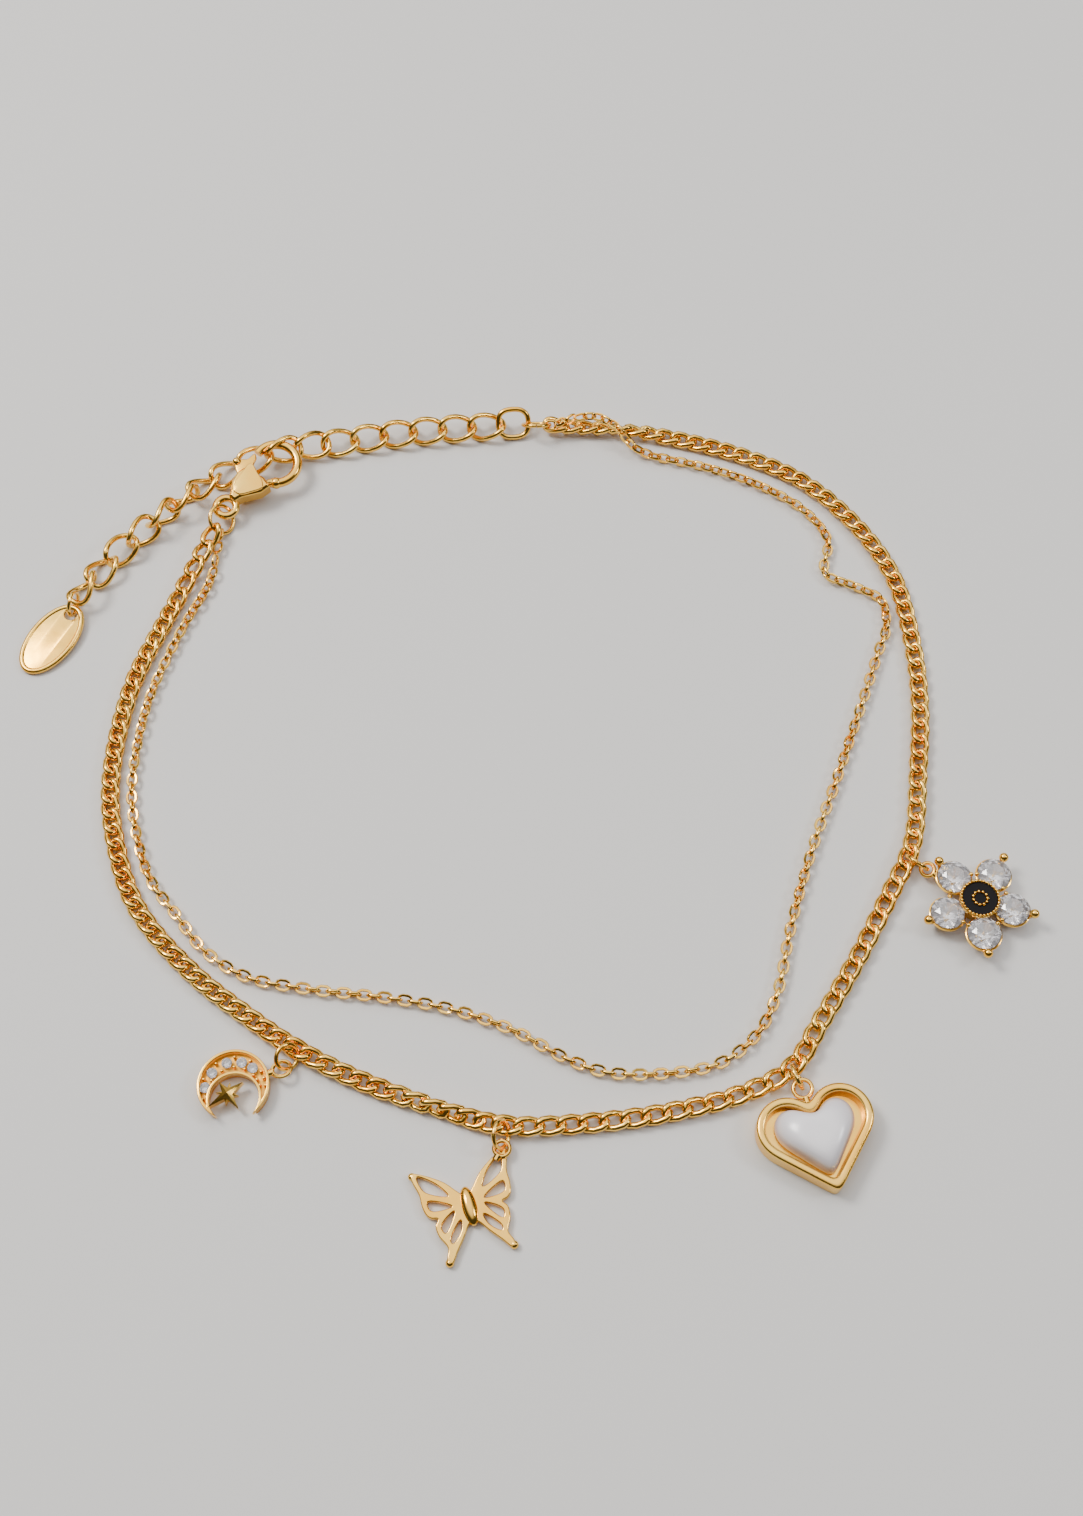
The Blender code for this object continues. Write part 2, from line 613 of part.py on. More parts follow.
def make_tag():
    """An oval tag with a raised rim on a flat field, hung on a small ring from the last link."""
    ring_turn = Vector(TAG_RING_AXIS).to_track_quat("Z", "Y").to_matrix().to_4x4()
    add_ring("tag_ring", TAG_RING_RADIUS, END_RING_WIRE, Matrix.Translation(TAG_RING_CENTRE) @ ring_turn)
    hole_reach = TAG_LENGTH / 2 - TAG_HOLE_INSET
    heading = Vector((math.cos(TAG_HEADING), math.sin(TAG_HEADING), TAG_LIFT))
    place = facing((*TAG_CENTRE, TAG_LIFT * TAG_LENGTH / 2), heading)
    top = TAG_THICKNESS
    rim = [(0, 0.0001), (0.0001, 0), (top - 0.0001, 0), (top, 0.0001), (top, TAG_RIM),
           (top - TAG_RIM_HEIGHT, TAG_RIM + 0.00015)]
    sections = [at_height(oval(TAG_LENGTH, TAG_WIDTH, inset), height) for height, inset in rim]
    tag = loft("tag", sections, matrix=place)
    hole = cylinder("tag_hole", TAG_HOLE_RADIUS, 4 * TAG_THICKNESS,
                    place @ Matrix.Translation((hole_reach, 0, TAG_THICKNESS / 2)))
    combine(tag, [hole], "DIFFERENCE")


# Clasp
def clasp_frame():
    return (Matrix.Translation(CLASP_BASE) @ Matrix.Rotation(CLASP_HEADING, 4, "Z")
            @ Matrix.Rotation(-CLASP_PITCH, 4, "Y") @ Matrix.Rotation(CLASP_ROLL, 4, "X"))


def make_clasp():
    frame = clasp_frame()
    shell = plate("clasp_body", [SHELL_OUTLINE], CLASP_THICKNESS, frame, 0.00025)
    base_ring = add_object("base_ring", wire_curve("base_ring", circle_points(BASE_RING_RADIUS, 16),
                                                   BASE_RING_WIRE, True, 2), matrix=frame)
    count = 14
    hook_line = []
    for i in range(count + 1):
        angle = HOOK_START + (HOOK_END - HOOK_START) * i / count
        hook_line.append((HOOK_CENTRE[0] + HOOK_RADIUS * math.cos(angle),
                          HOOK_CENTRE[1] + HOOK_RADIUS * math.sin(angle), 0.0))
    hook_line.insert(0, (hook_line[0][0] - 0.0010, hook_line[0][1] + 0.0002, 0.0))
    hook = add_object("hook", wire_curve("hook", hook_line, HOOK_WIRE, False, 2), matrix=frame)
    body = combine(shell, [base_ring, hook], "UNION")
    slot_height = LEVER_THICKNESS + 2 * LEVER_SLOT_GAP
    slot_outline = [(0.0024, LEVER_SLOT_FLOOR), (0.0054, LEVER_SLOT_FLOOR), (0.0056, 0.0034),
                    (0.0030, 0.0040), (0.0020, 0.0026)]
    slot = plate("slot", [slot_outline], slot_height, frame)
    at_pivot = frame @ Matrix.Translation((*LEVER_PIVOT, 0))
    pin_hole = cylinder("pin_hole", PIN_RADIUS + PIN_HOLD_GAP, 2 * CLASP_THICKNESS, at_pivot)
    combine(body, [slot, pin_hole], "DIFFERENCE")
    lever = plate("clasp_lever", [LEVER_OUTLINE], LEVER_THICKNESS, frame)
    nub = ball("nub", NUB_RADIUS, frame @ Matrix.Translation((*NUB_CENTRE, 0)), 10, 8, (1, 0.7, 1))
    lever = combine(lever, [nub], "UNION")
    lever_hole = cylinder("lever_hole", PIN_RADIUS + PIN_TURN_GAP, 2 * CLASP_THICKNESS, at_pivot)
    combine(lever, [lever_hole], "DIFFERENCE")
    cylinder("clasp_pin", PIN_RADIUS, CLASP_THICKNESS + 0.0001, at_pivot)


# Charms
def add_charm_ring(charm, curb):
    """A jump ring from the chain's link to the charm's hole, leaning back along the chain."""
    start, end = CHARM_SPOTS[charm]
    radius, tilt_deg = CHARM_RINGS[charm]
    tilt = math.radians(tilt_deg)
    along = curb.heading(curb.nearest((start[0], start[1], 0)))
    lean = Vector((0, 0, math.cos(tilt))) - along * math.sin(tilt)
    add_ring(charm + "_jump_ring", radius, CHARM_RING_WIRE, ring_through(start, end, lean, radius))


def make_eyelet(charm, towards, tilt_deg):
    """A soldered eyelet round the end of the charm's jump ring, with a short neck to the charm."""
    radius, neck_length = EYELETS[charm]
    centre = Vector(CHARM_SPOTS[charm][1])
    neck = (Vector((towards[0], towards[1], centre.z)) - centre).normalized()
    ring = wire_curve("eyelet", circle_points(radius, 12), EYELET_WIRE, True)
    neck_line = [centre + neck * radius, centre + neck * (radius + neck_length)]
    return [add_object("eyelet", ring, matrix=facing(centre, neck, math.radians(tilt_deg))),
            add_object("neck", wire_curve("neck", neck_line, NECK_WIDTH, False))]


def crescent(inset, count=15):
    """The moon's outline: an outer arc and an inner arc that meet at two rounded tips."""
    outer = MOON_RADIUS - inset
    inner = MOON_INNER_RADIUS + inset
    offset = -MOON_INNER_OFFSET
    meet = (outer**2 - inner**2 + offset**2) / (2 * offset)
    tip = math.acos(meet / outer)
    inner_tip = math.atan2(outer * math.sin(tip), meet - offset)
    points = []
    for i in range(count + 1):
        angle = -tip + 2 * tip * i / count
        points.append((outer * math.cos(angle), outer * math.sin(angle)))
    for i in range(1, count):
        angle = inner_tip - 2 * inner_tip * i / count
        points.append((offset + inner * math.cos(angle), inner * math.sin(angle)))
    return points


def moon_stone_place(angle):
    """Middle of the crescent's width in one direction from the moon's centre."""
    offset = MOON_INNER_OFFSET
    across = -offset * math.cos(angle)
    inner = across + math.sqrt(MOON_INNER_RADIUS**2 - (offset * math.sin(angle)) ** 2)
    middle = (inner + MOON_RADIUS) / 2
    return middle * math.cos(angle), middle * math.sin(angle)


def make_moon():
    place = flat_place(MOON_CENTRE, MOON_HEADING, MOON_THICKNESS / 2)
    moon = plate("moon_setting", [crescent(0.0)], MOON_THICKNESS, place, 0.0001)
    pocket_lift = Matrix.Translation((0, 0, MOON_THICKNESS - MOON_RECESS))
    pocket = plate("pocket", [crescent(MOON_RIM)], MOON_THICKNESS, place @ pocket_lift)
    seats = []
    for angle_deg in MOON_STONE_ANGLES_DEG:
        x, y = moon_stone_place(math.radians(angle_deg))
        seat = place @ Matrix.Translation((x, y, MOON_THICKNESS / 2))
        seats.append(cylinder("seat", MOON_STONE_RADIUS + LINK_GAP, 1.2 * MOON_THICKNESS, seat, 10))
        cut_stone(f"moon_stone_{len(seats)}", MOON_STONE_RADIUS, 0.0, seat @
                  Matrix.Translation((0, 0, -0.00012)), 10)
    moon = combine(moon, [pocket] + seats, "DIFFERENCE")
    combine(moon, make_eyelet("moon", MOON_CENTRE, 20) + [make_star(place)], "UNION")


def make_star(place):
    """A star with four long and four short rays, ridged up to its middle."""
    centre = Matrix.Translation((STAR_CENTRE_RADIUS * math.cos(STAR_CENTRE_ANGLE),
                                 STAR_CENTRE_RADIUS * math.sin(STAR_CENTRE_ANGLE), 0))
    outline = []
    for i in range(16):
        angle = math.pi / 8 * i + STAR_TURN
        reach = STAR_WAIST if i % 2 else (STAR_SHORT if i % 4 == 2 else STAR_LONG)
        outline.append((reach * math.cos(angle), reach * math.sin(angle)))
    middle = [(0.25 * x, 0.25 * y) for x, y in outline]
    low, high = -MOON_THICKNESS / 2 + 0.0002, MOON_THICKNESS / 2 - 0.0001
    sections = [at_height(outline, low), at_height(outline, high - 0.0002),
                at_height(middle, high + 0.0003)]
    return loft("star", sections, matrix=place @ centre)


def make_butterfly():
    turn = Matrix.Rotation(FLY_HEADING, 3, "Z")
    ring_x, ring_y = FLY_RING_SHARE
    centre = Vector(CHARM_SPOTS["butterfly"][1]) - turn @ Vector((ring_x, ring_y, 0)) * FLY_SPAN
    place = flat_place(centre.xy, FLY_HEADING, FLY_THICKNESS / 2)
    right = [(x * FLY_SPAN, y * FLY_SPAN) for x, y in FLY_WING]
    left = [(x, -y) for x, y in reversed(right[1:-1])]
    outlines = [right + left]
    for cell in FLY_CELLS:
        outlines.append([(x * FLY_SPAN, y * FLY_SPAN) for x, y in cell])
        outlines.append([(x * FLY_SPAN, -y * FLY_SPAN) for x, y in cell])
    wings = plate("butterfly", outlines, FLY_THICKNESS, place)
    stretch = (FLY_BODY_LENGTH / 2 / FLY_BODY_RADIUS, 1, 0.8)
    body = ball("body", FLY_BODY_RADIUS, place @ Matrix.Translation((0, 0, FLY_THICKNESS / 2)), 10, 8,
                stretch)
    wings = combine(wings, [body] + make_eyelet("butterfly", centre.xy, 0), "UNION")
    hole_place = Matrix.Translation(CHARM_SPOTS["butterfly"][1])
    hole = cylinder("eyelet_hole", EYELETS["butterfly"][0] - EYELET_WIRE / 2, 0.002, hole_place)
    combine(wings, [hole], "DIFFERENCE")


def heart_outline(inset, arc=9, notch_arc=2):
    """A heart set in by a distance: tip near the origin, round lobes, +X towards the notch."""
    radius = HEART_LOBE_RADIUS - inset
    lobe_x = HEART_TIP_TO_LOBES
    lobe_y = HEART_WIDTH / 2 - HEART_LOBE_RADIUS
    side_angle = math.atan2(lobe_y, lobe_x) + math.asin(HEART_LOBE_RADIUS / math.hypot(lobe_x, lobe_y))
    notch_angle = math.asin(lobe_y / HEART_LOBE_RADIUS)
    notch_x = lobe_x + HEART_LOBE_RADIUS * math.cos(notch_angle)
    left = []
    for i in range(arc + 1):
        angle = side_angle + math.pi / 2 - (side_angle + math.pi / 2 + notch_angle) * i / arc
        left.append((lobe_x + radius * math.cos(angle), lobe_y + radius * math.sin(angle)))
    for i in range(1, notch_arc):
        angle = math.pi - notch_angle * (1 - i / notch_arc)
        left.append((notch_x + inset * math.cos(angle), inset * math.sin(angle)))
    right = [(x, -y) for x, y in reversed(left)]
    return [(inset / math.sin(side_angle), 0.0)] + left + [(notch_x - inset, 0.0)] + right


def make_heart():
    place = flat_place(HEART_TIP, HEART_HEADING)
    top = HEART_HEIGHT
    walls = [(0.0, 0.0002), (0.0002, 0.0), (top - 0.0002, 0.0), (top, 0.0002), (top, HEART_RIM),
             (HEART_FLOOR, HEART_RIM + HEART_SLOPE)]
    sections = [at_height(heart_outline(inset), height) for height, inset in walls]
    setting = loft("heart_setting", sections, matrix=place)
    combine(setting, make_eyelet("heart", place @ Vector((HEART_TIP_TO_LOBES, 0, 0)), 10), "UNION")
    base = HEART_FLOOR + SEAT_GAP
    rise = PEARL_HEIGHT - base
    sections = []
    for share, size in PEARL_DOME:
        outline = heart_outline(HEART_RIM + HEART_SLOPE + PEARL_GAP)
        outline = [(PEARL_MIDDLE + size * (x - PEARL_MIDDLE), size * y) for x, y in outline]
        sections.append(at_height(outline, base + share * rise))
    loft("heart_pearl", sections, "pearl", place)


def make_flower():
    place = flat_place(FLOWER_CENTRE, FLOWER_TURN)
    setting = cylinder("flower_setting", FLOWER_HUB_RADIUS, FLOWER_HUB_HEIGHT,
                       place @ Matrix.Translation((0, 0, FLOWER_HUB_HEIGHT / 2)), 20)
    disc_lift = FLOWER_TOP - FLOWER_DISC_THICKNESS / 2
    joined = [cylinder("disc", FLOWER_DISC_RADIUS, FLOWER_DISC_THICKNESS,
                       place @ Matrix.Translation((0, 0, disc_lift)), 20)]
    cut = [cylinder("enamel_seat", ENAMEL_RADIUS + LINK_GAP, 2 * ENAMEL_THICKNESS,
                    place @ Matrix.Translation((0, 0, FLOWER_TOP)), 16)]
    cylinder("flower_enamel", ENAMEL_RADIUS, ENAMEL_THICKNESS - LINK_GAP,
             place @ Matrix.Translation((0, 0, FLOWER_TOP - ENAMEL_THICKNESS / 2)), 16)
    MATERIAL_FIXES["flower_enamel"] = "black_enamel"
    for number in range(5):
        turned = place @ Matrix.Rotation(-2 * math.pi / 5 * number, 4, "Z")
        cup = turned @ Matrix.Translation((FLOWER_STONE_ORBIT, 0, FLOWER_CUP_HEIGHT / 2))
        joined.append(cylinder("cup", 0.6 * FLOWER_STONE_RADIUS, FLOWER_CUP_HEIGHT, cup, 12,
                               1.02 * FLOWER_STONE_RADIUS))
        arm = turned @ Matrix.Translation((FLOWER_STONE_ORBIT / 2, 0, 0.0004))
        joined.append(primitive("arm", bmesh.ops.create_cube,
                                arm @ Matrix.Diagonal((FLOWER_STONE_ORBIT, 0.0009, 0.0008, 1)), size=1))
        prong_foot = Vector((FLOWER_STONE_ORBIT + 0.8 * FLOWER_STONE_RADIUS, 0, 0.0005))
        prong_head = Vector((FLOWER_BALL_ORBIT, 0, FLOWER_GIRDLE + 0.0005))
        joined.append(add_object("prong", wire_curve("prong", [prong_foot, prong_head], 0.0005, False),
                                 matrix=turned))
        joined.append(ball("prong_ball", FLOWER_BALL_RADIUS, turned @ Matrix.Translation(prong_head)))
        seat = turned @ Matrix.Translation((FLOWER_STONE_ORBIT, 0, 0))
        bowl = seat @ Matrix.Translation((0, 0, FLOWER_CUP_HEIGHT - 0.0001))
        cut.append(cylinder("bowl", 0.35 * FLOWER_STONE_RADIUS, 0.0011, bowl, 12, 0.99 * FLOWER_STONE_RADIUS))
        cut_stone(f"flower_stone_{number + 1}", FLOWER_STONE_RADIUS, FLOWER_GIRDLE + 0.00035, seat)
    joined += make_eyelet("flower", FLOWER_CENTRE, 15)
    setting = combine(setting, joined, "UNION")
    combine(setting, cut, "DIFFERENCE")


MATERIAL_FIXES = {}


def finish(obj):
    """Moves a piece so that the anklet's box is centred, and shades its round faces smooth."""
    obj.matrix_world = Matrix.Translation(FRAME_SHIFT) @ obj.matrix_world
    if obj.type == "MESH" and "stone" not in obj.name:
        obj.data.shade_smooth()
        obj.data.set_sharp_from_angle(angle=SMOOTH_ANGLE)


def main():
    curb = Route([(x, y, 0) for x, y in CURB_ROUTE])
    fine = Route(FINE_ROUTE)
    make_curb_chain(curb)
    make_fine_chain(fine)
    make_chain_ends(curb, fine)
    make_extender()
    make_tag()
    make_clasp()
    make_moon()
    make_butterfly()
    make_heart()
    make_flower()
    for charm in CHARM_SPOTS:
        add_charm_ring(charm, curb)
    for name, material in MATERIAL_FIXES.items():
        bpy.data.objects[name].data.materials.clear()
        bpy.data.objects[name].data.materials.append(MATERIALS[material])
    for obj in list(ANKLET.objects):
        finish(obj)


main()
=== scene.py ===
"""The looks of a charm anklet that lies in a loop: plated chains, clasp, tag and four charms."""

import math

import bmesh
import bpy
import numpy as np
from mathutils import Matrix, Vector, noise


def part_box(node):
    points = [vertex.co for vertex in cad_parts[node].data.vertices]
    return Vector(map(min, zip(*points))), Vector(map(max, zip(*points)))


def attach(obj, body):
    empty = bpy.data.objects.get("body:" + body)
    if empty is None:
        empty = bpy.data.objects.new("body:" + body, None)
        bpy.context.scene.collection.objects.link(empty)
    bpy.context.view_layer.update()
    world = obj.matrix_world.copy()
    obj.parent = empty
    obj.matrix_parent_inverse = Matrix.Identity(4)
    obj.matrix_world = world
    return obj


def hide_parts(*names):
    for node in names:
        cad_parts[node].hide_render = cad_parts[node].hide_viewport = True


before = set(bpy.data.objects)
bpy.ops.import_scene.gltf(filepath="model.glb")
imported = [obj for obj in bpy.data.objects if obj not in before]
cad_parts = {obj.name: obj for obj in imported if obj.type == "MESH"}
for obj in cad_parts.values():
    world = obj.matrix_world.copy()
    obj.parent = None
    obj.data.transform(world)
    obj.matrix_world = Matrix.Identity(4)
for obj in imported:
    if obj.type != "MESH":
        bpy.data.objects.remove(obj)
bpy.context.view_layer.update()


# The surface that the anklet lies on, its light and the camera. A matt pale card under a soft
# bright ceiling that dims towards the horizon, with a softbox on the left and one on the right.
LAID_MOVE = Vector((0.00037, 0.00107, 0.0))
CAMERA_PLACE = Vector((0.00275, -0.08242, 0.16804)) + LAID_MOVE
CAMERA_ELEVATION = math.radians(63)
CAMERA_LENS = 45.12
CARD_SIZE = 3.0
CARD_COLOUR = (0.72, 0.71, 0.70, 1.0)
CARD_GRAIN = {"scale": 900, "strength": 0.12, "depth": 0.0001}
SOFTBOXES = {
    "key": {"place": (-0.30, 0.16, 0.42), "size": 0.16, "power": 2.0, "colour": (1.0, 0.97, 0.92)},
    "fill": {"place": (0.36, 0.02, 0.30), "size": 0.10, "power": 0.5, "colour": (0.95, 0.97, 1.0)},
}
CEILING_WAY = (-0.10, 0.40, 0.91)
CEILING_EDGES = (0.55, 0.96)
CEILING_LIGHT = (0.06, 2.0)
CEILING_COLOUR = (1.0, 0.99, 0.975, 1.0)


def new_material(name):
    """A node material, its tree and its main shader."""
    material = bpy.data.materials.new(name)
    material.use_nodes = True
    tree = material.node_tree
    return material, tree, tree.nodes["Principled BSDF"]


def add_node(tree, kind, **values):
    """A node with constants on its named inputs."""
    node = tree.nodes.new(kind)
    for name, value in values.items():
        node.inputs[name.replace("_", " ")].default_value = value
    return node


def speckle(tree, scale, detail, low, high):
    """A fine noise on the piece itself, spread between two values."""
    place = tree.nodes.new("ShaderNodeTexCoord")
    grain = add_node(tree, "ShaderNodeTexNoise", Scale=scale, Detail=detail)
    spread = tree.nodes.new("ShaderNodeMapRange")
    spread.inputs["From Min"].default_value = 0.3
    spread.inputs["From Max"].default_value = 0.7
    spread.inputs["To Min"].default_value = low
    spread.inputs["To Max"].default_value = high
    tree.links.new(place.outputs["Object"], grain.inputs["Vector"])
    tree.links.new(grain.outputs["Fac"], spread.inputs["Value"])
    return grain.outputs["Fac"], spread.outputs["Result"]


card_material, card_tree, card_shader = new_material("pale_card")
card_shader.inputs["Base Color"].default_value = CARD_COLOUR
card_shader.inputs["Roughness"].default_value = 0.7
card_grain, _ = speckle(card_tree, CARD_GRAIN["scale"], 3, 0.0, 1.0)
card_bump = add_node(card_tree, "ShaderNodeBump", Strength=CARD_GRAIN["strength"],
                     Distance=CARD_GRAIN["depth"])
card_tree.links.new(card_grain, card_bump.inputs["Height"])
card_tree.links.new(card_bump.outputs["Normal"], card_shader.inputs["Normal"])

card_work = bmesh.new()
bmesh.ops.create_grid(card_work, x_segments=1, y_segments=1, size=CARD_SIZE / 2)
card_mesh = bpy.data.meshes.new("card")
card_work.to_mesh(card_mesh)
card_work.free()
card_mesh.materials.append(card_material)
card = bpy.data.objects.new("card", card_mesh)
bpy.context.scene.collection.objects.link(card)

for light_name, light in SOFTBOXES.items():
    lamp = bpy.data.lights.new(light_name, "AREA")
    lamp.size = light["size"]
    lamp.energy = light["power"]
    lamp.color = light["colour"]
    softbox = bpy.data.objects.new(light_name, lamp)
    softbox.location = light["place"]
    softbox.rotation_euler = (-Vector(light["place"])).to_track_quat("-Z", "Y").to_euler()
    bpy.context.scene.collection.objects.link(softbox)

room = bpy.data.worlds.new("room")
room.use_nodes = True
room_tree = room.node_tree
room_way = room_tree.nodes.new("ShaderNodeTexCoord")
room_height = room_tree.nodes.new("ShaderNodeVectorMath")
room_height.operation = "DOT_PRODUCT"
room_height.inputs[1].default_value = CEILING_WAY
room_dim = room_tree.nodes.new("ShaderNodeMapRange")
room_dim.interpolation_type = "SMOOTHSTEP"
for socket, value in zip(("From Min", "From Max", "To Min", "To Max"),
                         (*CEILING_EDGES, *CEILING_LIGHT)):
    room_dim.inputs[socket].default_value = value
room_tree.links.new(room_way.outputs["Generated"], room_height.inputs[0])
room_tree.links.new(room_height.outputs["Value"], room_dim.inputs["Value"])
room_tree.nodes["Background"].inputs["Color"].default_value = CEILING_COLOUR
room_tree.links.new(room_dim.outputs["Result"], room_tree.nodes["Background"].inputs["Strength"])
bpy.context.scene.world = room

camera_data = bpy.data.cameras.new("camera")
camera_data.lens = CAMERA_LENS
camera_data.clip_start = 0.01
camera = bpy.data.objects.new("camera", camera_data)
camera.location = CAMERA_PLACE
camera.rotation_euler = (math.pi / 2 - CAMERA_ELEVATION, 0.0, 0.0)
bpy.context.scene.collection.objects.link(camera)
bpy.context.scene.camera = camera


# Curb chain, about two millimetres wide: twisted brass links, plated with yellow gold and
# tumbled bright. It lies flat but for a few places where it has rolled over between charms.
GOLD_COLOUR = (1.0, 0.64, 0.14, 1.0)
GOLD_DEEP_COLOUR = (0.95, 0.50, 0.07, 1.0)
# Painted shade for the moon's sunk band: a darker, redder gold than the rim.
GOLD_RECESS_PAINTED_SHADE = (0.72, 0.34, 0.05, 1.0)
CURB_WIRE = 0.00062
CURB_LINK_LENGTH = 0.0031
CURB_LINK_WIDTH = 0.0020
CURB_TWIST = math.radians(-42)
CURB_LIE = 0.0006
CURB_SETTLE = 4
LINK_SQUARENESS = 2.6
HEADING_REACH = 0.0005
SWAY_GRAIN = 400
SWAY_PITCH = 0.06
SWAY_ROLL = 0.12
CURB_ROUTE = [
    (-0.0324, 0.0275), (-0.0352, 0.0204), (-0.0386, 0.0108), (-0.0396, 0.0004),
    (-0.0385, -0.0062), (-0.0358, -0.0130), (-0.0301, -0.0195), (-0.0239, -0.0243),
    (-0.0196, -0.0271), (-0.0141, -0.0299), (-0.0064, -0.0328), (-0.0005, -0.0343),
    (0.0062, -0.0341), (0.0139, -0.0331), (0.0213, -0.0312), (0.0257, -0.0288),
    (0.0285, -0.0245), (0.0324, -0.0182), (0.0361, -0.0114), (0.0386, -0.0062),
    (0.0398, 0.0010), (0.0407, 0.0089), (0.0406, 0.0158), (0.0393, 0.0240),
    (0.0357, 0.0307), (0.0304, 0.0362), (0.0241, 0.0395), (0.0161, 0.0419),
    (0.0103, 0.0428), (0.0043, 0.0428),
]
# Each run's links: the ends it hangs between, how far apart its links lie, and where it rolls
CURB_RUNS = {
    "curb_run_1": {"from": "curb_end_link_left", "to": "curb_link_moon", "pitch": 0.00164,
                   "rolls": [(0.0, 0), (0.3, 4), (0.55, -5), (0.8, 6), (1.0, 0)]},
    "curb_run_2": {"from": "curb_link_moon", "to": "curb_link_butterfly", "pitch": 0.00168,
                   "rolls": [(0.0, 0), (0.4, 8), (0.62, 55), (0.8, 75), (1.0, 20)]},
    "curb_run_3": {"from": "curb_link_butterfly", "to": "curb_link_heart", "pitch": 0.00191,
                   "rolls": [(0.0, 0), (0.3, 10), (0.7, -8), (1.0, 0)]},
    "curb_run_4": {"from": "curb_link_heart", "to": "curb_link_flower", "pitch": 0.00191,
                   "rolls": [(0.0, 0), (0.4, -8), (1.0, 5)]},
    "curb_run_5": {"from": "curb_link_flower", "to": "curb_end_link_right", "pitch": 0.00176,
                   "rolls": [(0.0, 0), (0.05, -35), (0.12, -10), (0.4, 5), (0.84, 0),
                             (0.91, 50), (0.96, 25), (1.0, 0)]},
}


def gold_finish(name, roughness_low, roughness_high, colour=GOLD_COLOUR, deep=GOLD_DEEP_COLOUR):
    """Plated yellow gold: its tint and gloss vary a little, with faint polishing waves."""
    material, tree, shader = new_material(name)
    shader.inputs["Metallic"].default_value = 1.0
    _, mix_share = speckle(tree, 260, 2, 0.0, 1.0)
    blend = tree.nodes.new("ShaderNodeMix")
    blend.data_type = "RGBA"
    blend.inputs["A"].default_value = colour
    blend.inputs["B"].default_value = deep
    tree.links.new(mix_share, blend.inputs["Factor"])
    tree.links.new(blend.outputs["Result"], shader.inputs["Base Color"])
    _, gloss = speckle(tree, 700, 4, roughness_low, roughness_high)
    tree.links.new(gloss, shader.inputs["Roughness"])
    wave, _ = speckle(tree, 1500, 2, 0.0, 1.0)
    bump = add_node(tree, "ShaderNodeBump", Strength=0.10, Distance=0.00005)
    tree.links.new(wave, bump.inputs["Height"])
    tree.links.new(bump.outputs["Normal"], shader.inputs["Normal"])
    return material


chain_gold = gold_finish("chain_gold", 0.10, 0.22)


def show(obj, material, slot, *nodes, body="anklet"):
    """Gives a finished piece its material and body, in place of CAD nodes; its slot is not used."""
    obj.data.materials.clear()
    obj.data.materials.append(material)
    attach(obj, body)
    if nodes:
        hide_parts(*nodes)
    return obj


def mesh_object(name, work, smooth_angle=None):
    """The bmesh as an object; faces that meet at less than the angle are shaded smooth."""
    bmesh.ops.remove_doubles(work, verts=work.verts, dist=1e-7)
    bmesh.ops.recalc_face_normals(work, faces=work.faces)
    mesh = bpy.data.meshes.new(name)
    work.to_mesh(mesh)
    work.free()
    if smooth_angle is not None:
        mesh.shade_smooth()
        mesh.set_sharp_from_angle(angle=math.radians(smooth_angle))
    obj = bpy.data.objects.new(name, mesh)
    bpy.context.scene.collection.objects.link(obj)
    return obj


def wire_mesh(loops, wire, sides_step, closed=True):
    """A mesh of round wires along the loops of points, with 4 sides and 2 for each step."""
    curve = bpy.data.curves.new("wire", "CURVE")
    curve.dimensions = "3D"
    curve.bevel_depth = wire / 2
    curve.bevel_resolution = sides_step
    curve.use_fill_caps = not closed
    for loop in loops:
        spline = curve.splines.new("POLY")
        spline.points.add(len(loop) - 1)
        for slot, point in zip(spline.points, loop):
            slot.co = (*point, 1.0)
        spline.use_cyclic_u = closed
    holder = bpy.data.objects.new("wire", curve)
    mesh = bpy.data.meshes.new_from_object(holder)
    bpy.data.objects.remove(holder)
    return mesh


def wire_piece(name, loops, wire, sides_step, closed=True):
    """The wires along the loops as one object."""
    work = bmesh.new()
    work.from_mesh(wire_mesh(loops, wire, sides_step, closed))
    return mesh_object(name, work, 60)


def oval_link(place, length, width, wire, twist, count):
    """The centre line of a link whose two ends are twisted opposite ways."""
    points = []
    for step in range(count):
        angle = 2 * math.pi * step / count
        along, side = (math.copysign(abs(part) ** (2 / LINK_SQUARENESS), part)
                       for part in (math.cos(angle), math.sin(angle)))
        side *= (width - wire) / 2
        turn = twist * along
        points.append(place @ Vector((along * (length - wire) / 2, side * math.cos(turn),
                                      side * math.sin(turn))))
    return points


def facing(centre, along, roll):
    """A place at centre with +X along a direction and +Y level, then turned about +X."""
    x = Vector(along).normalized()
    y = Vector((0, 0, 1)).cross(x).normalized()
    turn = Matrix((x, y, x.cross(y))).transposed().to_4x4()
    return Matrix.Translation(centre) @ turn @ Matrix.Rotation(roll, 4, "X")


def node_points(node):
    """The corners of a CAD node, each once."""
    corners = np.array([vertex.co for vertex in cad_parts[node].data.vertices])
    return np.unique(np.round(corners, 7), axis=0)


def node_place(node):
    """The place of a link or ring in CAD: +X on its longest way and +Z on its thinnest."""
    corners = node_points(node)
    centre = corners.mean(axis=0)
    _, _, ways = np.linalg.svd(corners - centre)
    x, y = Vector(ways[0]), Vector(ways[1])
    turn = Matrix((x, y, x.cross(y))).transposed().to_4x4()
    return Matrix.Translation(centre) @ turn


